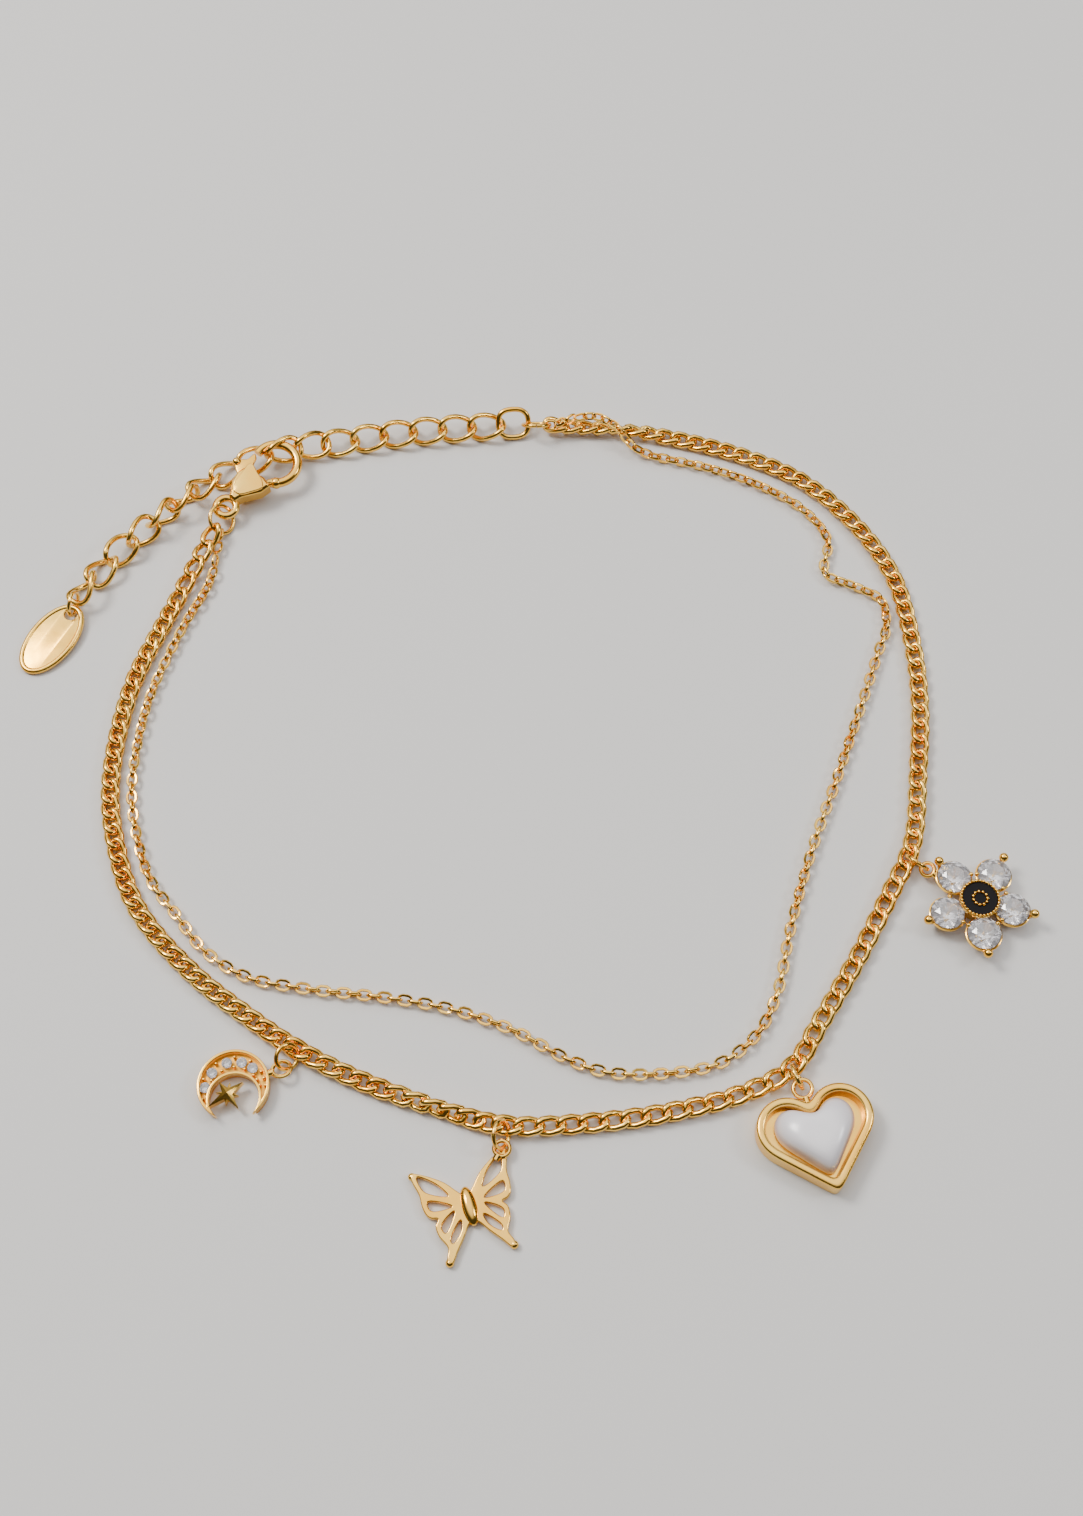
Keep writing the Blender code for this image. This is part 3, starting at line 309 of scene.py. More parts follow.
def smooth_line(points, closed=False, samples=12):
    """A fine polyline on a centripetal curve through the points."""
    points = [Vector(point) for point in points]
    if closed:
        points = points[-1:] + points + points[:2]
    else:
        points = [points[0] * 2 - points[1]] + points + [points[-1] * 2 - points[-2]]
    line = []
    for a, b, c, d in zip(points, points[1:], points[2:], points[3:]):
        t1 = math.sqrt((b - a).length)
        t2 = t1 + math.sqrt((c - b).length)
        t3 = t2 + math.sqrt((d - c).length)
        for step in range(samples):
            t = t1 + (t2 - t1) * step / samples
            p = a * ((t1 - t) / t1) + b * (t / t1)
            q = b * ((t2 - t) / (t2 - t1)) + c * ((t - t1) / (t2 - t1))
            r = c * ((t3 - t) / (t3 - t2)) + d * ((t - t2) / (t3 - t2))
            pq = p * ((t2 - t) / t2) + q * (t / t2)
            qr = q * ((t3 - t) / (t3 - t1)) + r * ((t - t1) / (t3 - t1))
            line.append(pq * ((t2 - t) / (t2 - t1)) + qr * ((t - t1) / (t2 - t1)))
    return line if closed else line + [points[-2]]


class Route:
    """A smooth line along the surface that can be read at any distance from its start."""

    def __init__(self, points):
        self.line = np.array([point + LAID_MOVE for point in smooth_line(points, samples=24)])
        steps = np.linalg.norm(np.diff(self.line, axis=0), axis=1)
        self.marks = np.concatenate([[0.0], np.cumsum(steps)])

    def at(self, distance):
        """The point at a distance."""
        return Vector([np.interp(distance, self.marks, self.line[:, axis]) for axis in range(3)])

    def heading(self, distance):
        """The way the line runs there."""
        ahead, behind = self.at(distance + HEADING_REACH), self.at(distance - HEADING_REACH)
        return (ahead - behind).normalized()

    def nearest(self, point):
        """The distance at which the line passes a point, seen from above."""
        return self.marks[np.linalg.norm(self.line[:, :2] - np.array(point)[:2], axis=1).argmin()]


def roll_of(place, along):
    """How far a CAD link is turned about the chain, between minus and plus a quarter turn."""
    level = facing(place.translation, along, 0.0)
    width = place.col[1].xyz
    roll = math.atan2(width.dot(level.col[2].xyz), width.dot(level.col[1].xyz))
    return (roll + math.pi / 2) % math.pi - math.pi / 2


def chain_places(route, first, last, pitch, rolls, settle):
    """Places for the links between two CAD links: each end keeps that link's height and roll."""
    ends = [node_place(first), node_place(last)]
    marks = [route.nearest(end.translation) for end in ends]
    count = max(2, round((marks[1] - marks[0]) / pitch))
    shares, degrees = zip(*rolls)
    shifts = [end.translation - route.at(mark) for end, mark in zip(ends, marks)]
    leans = [roll_of(end, route.heading(mark)) for end, mark in zip(ends, marks)]
    places = []
    for number in range(1, count):
        distance = marks[0] + (marks[1] - marks[0]) * number / count
        pulls = [max(0.0, 1 - number / settle), max(0.0, 1 - (count - number) / settle)]
        centre = route.at(distance) + shifts[0] * pulls[0] + shifts[1] * pulls[1]
        lying = math.radians(float(np.interp(number / count, shares, degrees)))
        roll = lying * (1 - pulls[0] - pulls[1]) + leans[0] * pulls[0] + leans[1] * pulls[1]
        sway = noise.noise(centre * SWAY_GRAIN)
        along = route.heading(distance) + Vector((0, 0, SWAY_PITCH * sway))
        places.append((centre, along, roll + SWAY_ROLL * sway))
    return places


def off_the_floor(loop, wire):
    """The loop lifted by as much as it would sink into the surface."""
    lift = max(0.0, wire / 2 - min(point.z for point in loop))
    return [point + Vector((0, 0, lift)) for point in loop]


curb_route = Route([(x, y, CURB_LIE) for x, y in CURB_ROUTE])
for run_name, run in CURB_RUNS.items():
    run_loops = []
    for centre, along, roll in chain_places(curb_route, run["from"], run["to"], run["pitch"],
                                            run["rolls"], CURB_SETTLE):
        loop = oval_link(facing(centre, along, roll), CURB_LINK_LENGTH, CURB_LINK_WIDTH,
                         CURB_WIRE, CURB_TWIST, 12)
        run_loops.append(off_the_floor(loop, CURB_WIRE))
    links = wire_piece(run_name.replace("run", "chain"), run_loops, CURB_WIRE, 2)
    show(links, chain_gold, "gold", run_name)

for link_name in ["curb_end_link_left", "curb_link_moon", "curb_link_butterfly", "curb_link_heart",
                  "curb_link_flower", "curb_end_link_right"]:
    loop = oval_link(node_place(link_name), CURB_LINK_LENGTH, CURB_LINK_WIDTH, CURB_WIRE,
                     CURB_TWIST, 24)
    show(wire_piece(link_name + "_shown", [loop], CURB_WIRE, 3), chain_gold, "gold", link_name)


# Fine cable chain, hung inside the curb chain from the same two jump rings: small oval links
# of round wire, plated like the rest, every other one standing on its edge.
FINE_WIRE = 0.0003
FINE_LINK_LENGTH = 0.00160
FINE_LINK_WIDTH = 0.0012
FINE_PITCH = 0.00096
FINE_END_LENGTH = 0.0015
FINE_ROLL = math.radians(14)
FINE_SWAY = 0.15
FINE_SWAY_STEP = 0.37
FINE_SETTLE = 3
FINE_LIE = 0.00062
FINE_CROSS = 0.0021
FINE_ROUTE = [
    (-0.0310, 0.0273, FINE_LIE), (-0.0318, 0.0231, FINE_LIE), (-0.0337, 0.0187, FINE_LIE),
    (-0.0355, 0.0137, FINE_LIE), (-0.0367, 0.0095, FINE_LIE), (-0.0374, 0.0040, FINE_LIE),
    (-0.0374, -0.0010, FINE_LIE), (-0.0364, -0.0058, FINE_LIE), (-0.0347, -0.0102, FINE_LIE),
    (-0.0317, -0.0141, FINE_LIE), (-0.0290, -0.0174, FINE_LIE), (-0.0249, -0.0200, FINE_LIE),
    (-0.0193, -0.0212, FINE_LIE), (-0.0117, -0.0221, FINE_LIE), (-0.0057, -0.0232, FINE_LIE),
    (0.0000, -0.0252, FINE_LIE), (0.0051, -0.0280, FINE_LIE), (0.0089, -0.0293, FINE_LIE),
    (0.0150, -0.0293, FINE_LIE), (0.0193, -0.0283, FINE_LIE), (0.0227, -0.0255, FINE_LIE),
    (0.0247, -0.0216, FINE_LIE), (0.0263, -0.0152, FINE_LIE), (0.0288, -0.0072, FINE_LIE),
    (0.0319, 0.0009, FINE_LIE), (0.0349, 0.0090, FINE_LIE), (0.0370, 0.0149, FINE_LIE),
    (0.0381, 0.0180, FINE_LIE), (0.0378, 0.0212, FINE_LIE), (0.0352, 0.0229, FINE_LIE),
    (0.0323, 0.0245, FINE_LIE), (0.0328, 0.0287, FINE_LIE), (0.0306, 0.0323, FINE_LIE),
    (0.0261, 0.0355, FINE_LIE), (0.0207, 0.0378, FINE_LIE), (0.0158, 0.0391, FINE_LIE),
    (0.0146, 0.0394, 0.00068), (0.0126, 0.0403, 0.00112), (0.0108, 0.0421, FINE_CROSS),
    (0.0089, 0.0434, FINE_CROSS), (0.0070, 0.0434, FINE_CROSS), (0.0057, 0.0424, 0.0022),
    (0.0047, 0.0417, 0.0020),
]

fine_route = Route(FINE_ROUTE)
fine_loops = []
fine_places = chain_places(fine_route, "fine_end_link_left", "fine_end_link_right", FINE_PITCH,
                           [(0.0, 0), (1.0, 0)], FINE_SETTLE)
for number, (centre, along, _) in enumerate(fine_places):
    sway = FINE_SWAY * math.sin(number * FINE_SWAY_STEP)
    link_place = facing(centre, along, FINE_ROLL + sway + math.pi / 2 * (number % 2))
    loop = oval_link(link_place, FINE_LINK_LENGTH, FINE_LINK_WIDTH, FINE_WIRE, 0, 10)
    fine_loops.append(off_the_floor(loop, FINE_WIRE))
show(wire_piece("fine_chain", fine_loops, FINE_WIRE, 1), chain_gold, "gold", "fine_run")

for link_name in ["fine_end_link_left", "fine_end_link_right"]:
    loop = oval_link(node_place(link_name), FINE_END_LENGTH, FINE_LINK_WIDTH, FINE_WIRE, 0.0, 20)
    show(wire_piece(link_name + "_shown", [loop], FINE_WIRE, 2), chain_gold, "gold", link_name)


# Jump rings: round gold-plated wire, bent shut. One at each end of the chains, one at each
# charm and one at the tag.
JUMP_RINGS = {
    "jump_ring_left": 0.00042, "jump_ring_right": 0.00042, "tag_ring": 0.00040,
    "moon_jump_ring": 0.00042, "butterfly_jump_ring": 0.00042, "heart_jump_ring": 0.00042,
    "flower_jump_ring": 0.00042,
}
RING_CUT_DEG = 3.0


def ring_loop(place, radius, count=40, cut_deg=0.0):
    """Points round a ring, or round all but a narrow cut in it."""
    start = math.radians(cut_deg / 2)
    turn = (2 * math.pi - 2 * start) / (count if cut_deg == 0 else count - 1)
    angles = [start + turn * step for step in range(count)]
    return [place @ Vector((radius * math.cos(a), radius * math.sin(a), 0)) for a in angles]


for ring_name, wire in JUMP_RINGS.items():
    place = node_place(ring_name)
    reach = np.linalg.norm(node_points(ring_name) - np.array(place.translation), axis=1).max()
    loop = ring_loop(place, reach - wire / 2, 40, RING_CUT_DEG)
    show(wire_piece(ring_name + "_shown", [loop], wire, 3, False), chain_gold, "gold", ring_name)


# Extender: open curb links of stout gold-plated wire and a last round one. Each is its own
# link, and the clasp's hook goes through the eighth.
EXTENDER_WIRE = 0.00058
EXTENDER_LENGTH = 0.00436
EXTENDER_WIDTH = 0.00318
EXTENDER_TWIST = math.radians(-45)
EXTENDER_LINKS = 17
ROUND_LINK_LENGTH = 0.00386
ROUND_LINK_WIDTH = 0.00358

extender_gold = gold_finish("extender_gold", 0.14, 0.26)
extender_links = [(f"extender_link_{number:02d}", EXTENDER_LENGTH, EXTENDER_WIDTH, EXTENDER_TWIST)
                  for number in range(1, EXTENDER_LINKS + 1)]
extender_links.append(("extender_link_round", ROUND_LINK_LENGTH, ROUND_LINK_WIDTH, 0.0))
for link_name, length, width, twist in extender_links:
    loop = oval_link(node_place(link_name), length, width, EXTENDER_WIRE, twist, 28)
    link = wire_piece(link_name + "_shown", [loop], EXTENDER_WIRE, 4)
    show(link, extender_gold, "gold", link_name)


# Oval tag: a thin stamped plate, gold-plated, with a rounded raised rim and a plain field, hung
# from its small ring by a punched hole.
TAG_LENGTH = 0.0088
TAG_WIDTH = 0.0050
TAG_RIM_WIRE = 0.0006
TAG_FIELD_THICKNESS = 0.0004
TAG_FIELD_INSET = 0.0001
TAG_FIELD_EDGE = 0.00008
TAG_FIELD_DROP = 0.00004
TAG_HOLE_RADIUS = 0.0007
TAG_HOLE_INSET = 0.0011


def flat_work(outlines, thickness, bevel, place, height):
    """A bmesh of a flat plate with round edges: the first outline is its edge, the rest holes."""
    curve = bpy.data.curves.new("plate", "CURVE")
    curve.dimensions = "2D"
    curve.fill_mode = "BOTH"
    curve.extrude = thickness / 2 - bevel
    curve.bevel_depth = bevel
    curve.bevel_resolution = 2
    curve.offset = -bevel
    for outline in outlines:
        spline = curve.splines.new("POLY")
        spline.points.add(len(outline) - 1)
        for slot, point in zip(spline.points, outline):
            slot.co = (point[0], point[1], 0.0, 1.0)
        spline.use_cyclic_u = True
    holder = bpy.data.objects.new("plate", curve)
    mesh = bpy.data.meshes.new_from_object(holder)
    bpy.data.objects.remove(holder)
    mesh.transform(place @ Matrix.Translation((0, 0, height)))
    work = bmesh.new()
    work.from_mesh(mesh)
    return work


def oval(length, width, count):
    """The points of an ellipse."""
    steps = (2 * math.pi * i / count for i in range(count))
    return [(length / 2 * math.cos(a), width / 2 * math.sin(a)) for a in steps]


tag_place = node_place("tag")
if tag_place.col[2].z < 0:
    tag_place = tag_place @ Matrix.Rotation(math.pi, 4, "X")
if tag_place.col[0].y < 0:
    tag_place = tag_place @ Matrix.Rotation(math.pi, 4, "Z")
tag_corners = node_points("tag") @ np.array(tag_place.to_3x3())
tag_middle = (tag_corners.min(axis=0) + tag_corners.max(axis=0)) / 2
tag_place = tag_place.to_3x3().to_4x4() @ Matrix.Translation(tag_middle)
hole_reach = TAG_LENGTH / 2 - TAG_HOLE_INSET
tag_hole = [(hole_reach + x, y) for x, y in oval(2 * TAG_HOLE_RADIUS, 2 * TAG_HOLE_RADIUS, 32)]
tag_field = oval(TAG_LENGTH - 2 * TAG_FIELD_INSET, TAG_WIDTH - 2 * TAG_FIELD_INSET, 72)
tag_work = flat_work([tag_field, tag_hole], TAG_FIELD_THICKNESS, TAG_FIELD_EDGE, tag_place,
                     -TAG_FIELD_DROP)
rim_line = [tag_place @ Vector((x, y, 0)) for x, y in
            oval(TAG_LENGTH - TAG_RIM_WIRE, TAG_WIDTH - TAG_RIM_WIRE, 72)]
tag_work.from_mesh(wire_mesh([rim_line], TAG_RIM_WIRE, 4))
tag_gold = gold_finish("tag_gold", 0.20, 0.34)
show(mesh_object("tag_shown", tag_work, 50), tag_gold, "gold", "tag")


# Lobster clasp, a gold-plated casting: base ring, flat-sided body and hook in one, with a
# sprung lever on a pin. Its edges are tumbled round, and its cheek stands up a little.
CLASP_BASE = Vector((-0.0305, 0.0321, 0.00156)) + LAID_MOVE
CLASP_HEADING = math.radians(45.14)
CLASP_PITCH = math.radians(4.32)
CLASP_ROLL = math.radians(6.75)
CLASP_HALF_THICKNESS = 0.00095
BASE_RING = {"radius": 0.00105, "wire": 0.00082}
HOOK = {"centre": (0.0072, 0.0001), "radius": 0.0023, "wire": 0.0010, "from": -146, "to": 104}
HOOK_STEPS = 40
COLLAR_DEG = -132
COLLAR_RADIUS = 0.00062
CHEEK_OUTLINE = [
    (0.00172, -0.00030), (0.00280, -0.00098), (0.00400, -0.00142), (0.00455, -0.00080),
    (0.00485, 0.00030), (0.00515, 0.00135), (0.00490, 0.00165), (0.00400, 0.00150),
    (0.00300, 0.00128), (0.00215, 0.00095), (0.00160, 0.00045),
]
LEVER_OUTLINE = [
    (0.00310, 0.00020), (0.00400, 0.00010), (0.00490, 0.00135), (0.00615, 0.00195),
    (0.00630, 0.00238), (0.00530, 0.00245), (0.00480, 0.00290), (0.00400, 0.00290),
    (0.00330, 0.00170),
]
LEVER_THICKNESS = 0.0006
LEVER_EDGE = 0.00014
LEVER_LIFT = 0.0002
NUB = {"place": (0.0043, 0.0030, 0.00032), "radius": 0.0005}
CHEEK_THICKNESS = 0.0004
CHEEK_EDGE = 0.00012
CHEEK_RAISE = 0.00013
CAST_GRAIN = 0.00005
TUMBLE_ROUNDS = 6

clasp_place = (Matrix.Translation(CLASP_BASE) @ Matrix.Rotation(CLASP_HEADING, 4, "Z")
               @ Matrix.Rotation(-CLASP_PITCH, 4, "Y") @ Matrix.Rotation(CLASP_ROLL, 4, "X"))
clasp_gold = gold_finish("clasp_gold", 0.12, 0.24)
clasp_work = flat_work([smooth_line(CHEEK_OUTLINE, True, 6)], CHEEK_THICKNESS, CHEEK_EDGE, clasp_place,
                       CLASP_HALF_THICKNESS + CHEEK_RAISE - CHEEK_THICKNESS / 2)
base_loop = ring_loop(clasp_place, BASE_RING["radius"], 32)
clasp_work.from_mesh(wire_mesh([base_loop], BASE_RING["wire"], 4))


def add_ball(work, spot, radius, across, stretch=(1, 1, 1)):
    """A ball, or a stretched one, with so many sides across."""
    shape = Matrix.Translation(spot) @ Matrix.Diagonal((*stretch, 1))
    bmesh.ops.create_uvsphere(work, u_segments=across, v_segments=across // 2 + 1, radius=radius,
                              matrix=shape)


def hook_point(angle_deg):
    """A point on the centre line of the hook's wire."""
    x, y = HOOK["centre"]
    angle = math.radians(angle_deg)
    return clasp_place @ Vector((x + HOOK["radius"] * math.cos(angle),
                                 y + HOOK["radius"] * math.sin(angle), 0))


hook_line = [hook_point(HOOK["from"] + (HOOK["to"] - HOOK["from"]) * step / HOOK_STEPS)
             for step in range(HOOK_STEPS + 1)]
clasp_work.from_mesh(wire_mesh([hook_line], HOOK["wire"], 5, False))
add_ball(clasp_work, hook_point(COLLAR_DEG), COLLAR_RADIUS, 20)
show(mesh_object("clasp_hook_and_cheek", clasp_work, 50), clasp_gold, "gold")

lever_work = flat_work([smooth_line(LEVER_OUTLINE, True, 5)], LEVER_THICKNESS, LEVER_EDGE, clasp_place,
                       LEVER_LIFT)
add_ball(lever_work, clasp_place @ Vector(NUB["place"]), NUB["radius"], 20)
show(mesh_object("lever", lever_work, 50), clasp_gold, "gold", "clasp_lever", body="lever")

for node_name in ("clasp_body", "clasp_pin"):
    cast_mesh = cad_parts[node_name].data
    cast_mesh.materials.clear()
    cast_mesh.materials.append(clasp_gold)
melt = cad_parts["clasp_body"].modifiers.new("cast", "REMESH")
melt.mode = "VOXEL"
melt.voxel_size = CAST_GRAIN
melt.use_smooth_shade = True
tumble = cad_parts["clasp_body"].modifiers.new("tumbled", "SMOOTH")
tumble.factor = 0.5
tumble.iterations = TUMBLE_ROUNDS


# Cut stones: round clear brilliants with a table, star and kite facets, a girdle and a pointed
# pavilion. A faint lavender shows in them.
STONE_COLOUR = (0.985, 0.965, 1.0, 1.0)
STONE_IOR = 2.15
STONE_CLEARNESS = 0.84
# Rings of corners from the table down: shares of the radius out and up, how many, and the turn
STONE_RINGS = [(0.56, 0.34, 8, 0.5), (0.80, 0.215, 8, 0.0), (1.0, 0.045, 16, 0.0),
               (1.0, -0.02, 16, 0.0), (0.45, -0.42, 8, 0.5), (0.03, -0.74, 6, 0.0)]

stone_material, _, stone_shader = new_material("cut_crystal")
stone_shader.inputs["Base Color"].default_value = STONE_COLOUR
stone_shader.inputs["Roughness"].default_value = 0.01
stone_shader.inputs["IOR"].default_value = STONE_IOR
stone_shader.inputs["Transmission Weight"].default_value = STONE_CLEARNESS


def brilliant(name, radius, node):
    """A brilliant on a CAD stone's girdle: eight kites, eight stars and sixteen girdle facets."""
    low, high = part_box(node)
    work = bmesh.new()
    for out, up, count, turn in STONE_RINGS:
        for step in range(count):
            angle = 2 * math.pi * (step + turn) / count
            spot = (out * radius * math.cos(angle), out * radius * math.sin(angle), up * radius)
            work.verts.new(spot)
    bmesh.ops.convex_hull(work, input=work.verts)
    bmesh.ops.dissolve_limit(work, angle_limit=math.radians(1.5), verts=work.verts,
                             edges=work.edges)
    middle = (low + high) / 2
    table = high.z - STONE_RINGS[0][1] * radius
    bmesh.ops.translate(work, verts=work.verts, vec=(middle.x, middle.y, table))
    return show(mesh_object(name, work), stone_material, "clear_stone", node)


# Moon charm: a crescent with a raised rim and a sunk band, five small stones and the beads
# that hold them, and two ridged stars, one on the other, soldered across the hollow.
MOON_CENTRE = Vector((-0.0252, -0.0306, 0.0)) + LAID_MOVE
MOON_HEADING = math.radians(97)
MOON_RADIUS = 0.0033
MOON_INNER_RADIUS = 0.00225
MOON_INNER_OFFSET = 0.00130
MOON_THICKNESS = 0.0013
MOON_RIM = 0.00028
MOON_RIM_EDGE = 0.00007
MOON_RIM_ROOT = 0.0001
MOON_RECESS = 0.0006
MOON_BAND_INSET = 0.00005
MOON_BAND_EDGE = 0.00008
MOON_STONE_RADIUS = 0.0005
MOON_BEAD_RADIUS = 0.00018
MOON_BEAD_STRETCH = 1.8
MOON_BEAD_LIFT = 0.00022
MOON_BEAD_SHARES = (0.30, 0.70)
MOON_BEADS_DEG = [124, 110, 72.5, 34, -5.5, -39, -70, -84, -98]
MOON_EYELET = Vector((-0.02095, -0.02905, 0.00085)) + LAID_MOVE
STAR_DEG = 145
STAR_ORBIT = 0.00098
STARS = {
    "under": {"rays": [(76, 0.0011), (166, 0.0010), (256, 0.0010), (346, 0.0011)],
              "waist": 0.00034, "low": 0.0005, "edge": 0.0011, "peak": 0.00125},
    "over": {"rays": [(31, 0.00135), (121, 0.00214), (211, 0.00188), (301, 0.00170)],
             "waist": 0.00048, "low": 0.0006, "edge": 0.00135, "peak": 0.0016},
}
EYELET_WIRE = 0.0004
EYELET_NECK_WIRE = 0.0007


def crescent(inset, count=48):
    """The moon's outline, set in by a distance: an outer and an inner arc between its tips."""
    outer = MOON_RADIUS - inset
    inner = MOON_INNER_RADIUS + inset
    meet = (outer**2 - inner**2 + MOON_INNER_OFFSET**2) / (-2 * MOON_INNER_OFFSET)
    tip = math.acos(meet / outer)
    inner_tip = math.atan2(outer * math.sin(tip), meet + MOON_INNER_OFFSET)
    points = []
    for i in range(count + 1):
        angle = -tip + 2 * tip * i / count
        points.append((outer * math.cos(angle), outer * math.sin(angle)))
    for i in range(1, count):
        angle = inner_tip - 2 * inner_tip * i / count
        points.append((inner * math.cos(angle) - MOON_INNER_OFFSET, inner * math.sin(angle)))
    return points


def band_spot(angle_deg, share):
    """A place on the crescent's band: share 0 is its inner edge and 1 its outer edge."""
    angle = math.radians(angle_deg)
    across = -MOON_INNER_OFFSET * math.cos(angle)
    inner = across + math.sqrt(MOON_INNER_RADIUS**2 - (MOON_INNER_OFFSET * math.sin(angle)) ** 2)
    reach = inner + share * (MOON_RADIUS - inner)
    return Vector((reach * math.cos(angle), reach * math.sin(angle), 0))


def add_eyelet(work, centre, towards, radius, neck_length, tilt_deg):
    """A soldered wire loop round the jump ring, with a short neck to the charm."""
    neck = Vector((towards.x - centre.x, towards.y - centre.y, 0)).normalized()
    place = facing(centre, neck, math.radians(tilt_deg))
    work.from_mesh(wire_mesh([ring_loop(place, radius, 32)], EYELET_WIRE, 3))
    foot = [centre + neck * radius, centre + neck * (radius + neck_length)]
    work.from_mesh(wire_mesh([foot], EYELET_NECK_WIRE, 3, False))


def add_work(work, part):
    """Puts one bmesh into another."""
    mesh = bpy.data.meshes.new("part")
    part.to_mesh(mesh)
    part.free()
    work.from_mesh(mesh)


moon_place = Matrix.Translation(MOON_CENTRE) @ Matrix.Rotation(MOON_HEADING, 4, "Z")
band_top = MOON_THICKNESS - MOON_RECESS
# Painted shade: the moon's sunk band gets a darker, redder gold than its rim. Its higher roughness is
# a duller finish.
recess_painted_shade_gold = gold_finish("recess_painted_shade_gold", 0.30, 0.45, GOLD_RECESS_PAINTED_SHADE, GOLD_DEEP_COLOUR)
band_work = flat_work([crescent(MOON_BAND_INSET)], band_top, MOON_BAND_EDGE, moon_place, band_top / 2)
moon_band = mesh_object("moon_band", band_work, 35)
rim_height = MOON_RECESS + MOON_RIM_ROOT
moon_work = flat_work([crescent(0.0), crescent(MOON_RIM)], rim_height, MOON_RIM_EDGE, moon_place,
                      MOON_THICKNESS - rim_height / 2)
for angle_deg in MOON_BEADS_DEG:
    for share in MOON_BEAD_SHARES:
        lift = Vector((0, 0, band_top + MOON_BEAD_LIFT))
        spot = moon_place @ (band_spot(angle_deg, share) + lift)
        add_ball(moon_work, spot, MOON_BEAD_RADIUS, 10, (1, 1, MOON_BEAD_STRETCH))
star_angle = math.radians(STAR_DEG)
star_move = (STAR_ORBIT * math.cos(star_angle), STAR_ORBIT * math.sin(star_angle), 0)
star_place = moon_place @ Matrix.Translation(star_move)
for star in STARS.values():
    rays = star["rays"]
    outline = []
    for (ray_deg, reach), (next_deg, _) in zip(rays, rays[1:] + [(rays[0][0] + 360, 0)]):
        for angle_deg, distance in ((ray_deg, reach), ((ray_deg + next_deg) / 2, star["waist"])):
            angle = math.radians(angle_deg)
            outline.append((distance * math.cos(angle), distance * math.sin(angle)))
    star_work = bmesh.new()
    foot = star_work.faces.new([star_work.verts.new((x, y, star["low"])) for x, y in outline])
    raised = bmesh.ops.extrude_face_region(star_work, geom=[foot])["geom"]
    raised_verts = [item for item in raised if isinstance(item, bmesh.types.BMVert)]
    raised_face = [item for item in raised if isinstance(item, bmesh.types.BMFace)]
    bmesh.ops.translate(star_work, verts=raised_verts, vec=(0, 0, star["edge"] - star["low"]))
    peak = bmesh.ops.poke(star_work, faces=raised_face)["verts"]
    bmesh.ops.translate(star_work, verts=peak, vec=(0, 0, star["peak"] - star["edge"]))
    for vert in peak:
        vert.co.x = vert.co.y = 0.0
    bmesh.ops.transform(star_work, verts=star_work.verts, matrix=star_place)
    add_work(moon_work, star_work)
add_eyelet(moon_work, MOON_EYELET, MOON_CENTRE, 0.00085, 0.0006, 20)
charm_gold = gold_finish("charm_gold", 0.12, 0.22)
show(mesh_object("moon_rim_and_star", moon_work, 35), charm_gold, "gold", "moon_setting")
show(moon_band, recess_painted_shade_gold, "gold")
for number in range(1, 6):
    brilliant(f"moon_brilliant_{number}", MOON_STONE_RADIUS, f"moon_stone_{number}")


# Butterfly charm: cut from flat sheet with pierced cells in its wings, polished and plated,
# with a raised body. Its jump ring goes through a loop at the wing's tip.
FLY_RING_SPOT = Vector((-0.0008, -0.0364, 0.0008)) + LAID_MOVE
FLY_RING_SHARE = (0.486, -0.474)
FLY_HEADING = math.radians(106)
FLY_SPAN = 0.0087
FLY_THICKNESS = 0.0007
FLY_EDGE = 0.00012
FLY_BODY = {"along": 0.0001, "height": 0.75, "radius": 0.0007, "stretch": (2.6, 1, 0.9)}
# Round ends of the wings: their places as shares of the span, and their radii
FLY_KNOBS = [((-0.483, 0.335), 0.00040), ((0.468, 0.488), 0.00036)]
FLY_WING = [
    (0.115, 0.0), (0.18, 0.07), (0.315, 0.185), (0.42, 0.33), (0.475, 0.43), (0.49, 0.475),
    (0.465, 0.50), (0.40, 0.50), (0.26, 0.465), (0.13, 0.465), (0.03, 0.44), (-0.01, 0.40),
    (-0.03, 0.34), (-0.09, 0.38), (-0.20, 0.375), (-0.34, 0.315), (-0.44, 0.35), (-0.49, 0.35),
    (-0.505, 0.31), (-0.41, 0.235), (-0.28, 0.13), (-0.17, 0.05), (-0.14, 0.0),
]
FLY_CELLS = [
    [(0.44, 0.44), (0.34, 0.43), (0.265, 0.39), (0.17, 0.185), (0.27, 0.235), (0.38, 0.34)],
    [(0.165, 0.395), (0.07, 0.385), (0.055, 0.17)],
    [(0.0, 0.16), (-0.065, 0.28), (-0.125, 0.325), (-0.19, 0.30)],
    [(-0.105, 0.12), (-0.265, 0.265), (-0.31, 0.255), (-0.21, 0.145)],
]

fly_turn = Matrix.Rotation(FLY_HEADING, 4, "Z")
fly_centre = FLY_RING_SPOT - fly_turn @ Vector((*FLY_RING_SHARE, 0)) * FLY_SPAN
fly_centre.z = 0.0
fly_place = Matrix.Translation(fly_centre) @ fly_turn
right_wing = [(x * FLY_SPAN, y * FLY_SPAN, 0) for x, y in FLY_WING]
left_wing = [(x, -y, 0) for x, y, _ in reversed(right_wing[1:-1])]
fly_outlines = [smooth_line(right_wing + left_wing, True, 5)]
for cell in FLY_CELLS:
    for side in (1, -1):
        corners = [(x * FLY_SPAN, side * y * FLY_SPAN, 0) for x, y in cell]
        fly_outlines.append(smooth_line(corners, True, 6))
fly_work = flat_work(fly_outlines, FLY_THICKNESS, FLY_EDGE, fly_place, FLY_THICKNESS / 2)
fly_body = bmesh.new()
add_ball(fly_body, (FLY_BODY["along"], 0, FLY_THICKNESS * FLY_BODY["height"]), FLY_BODY["radius"],
         24, FLY_BODY["stretch"])
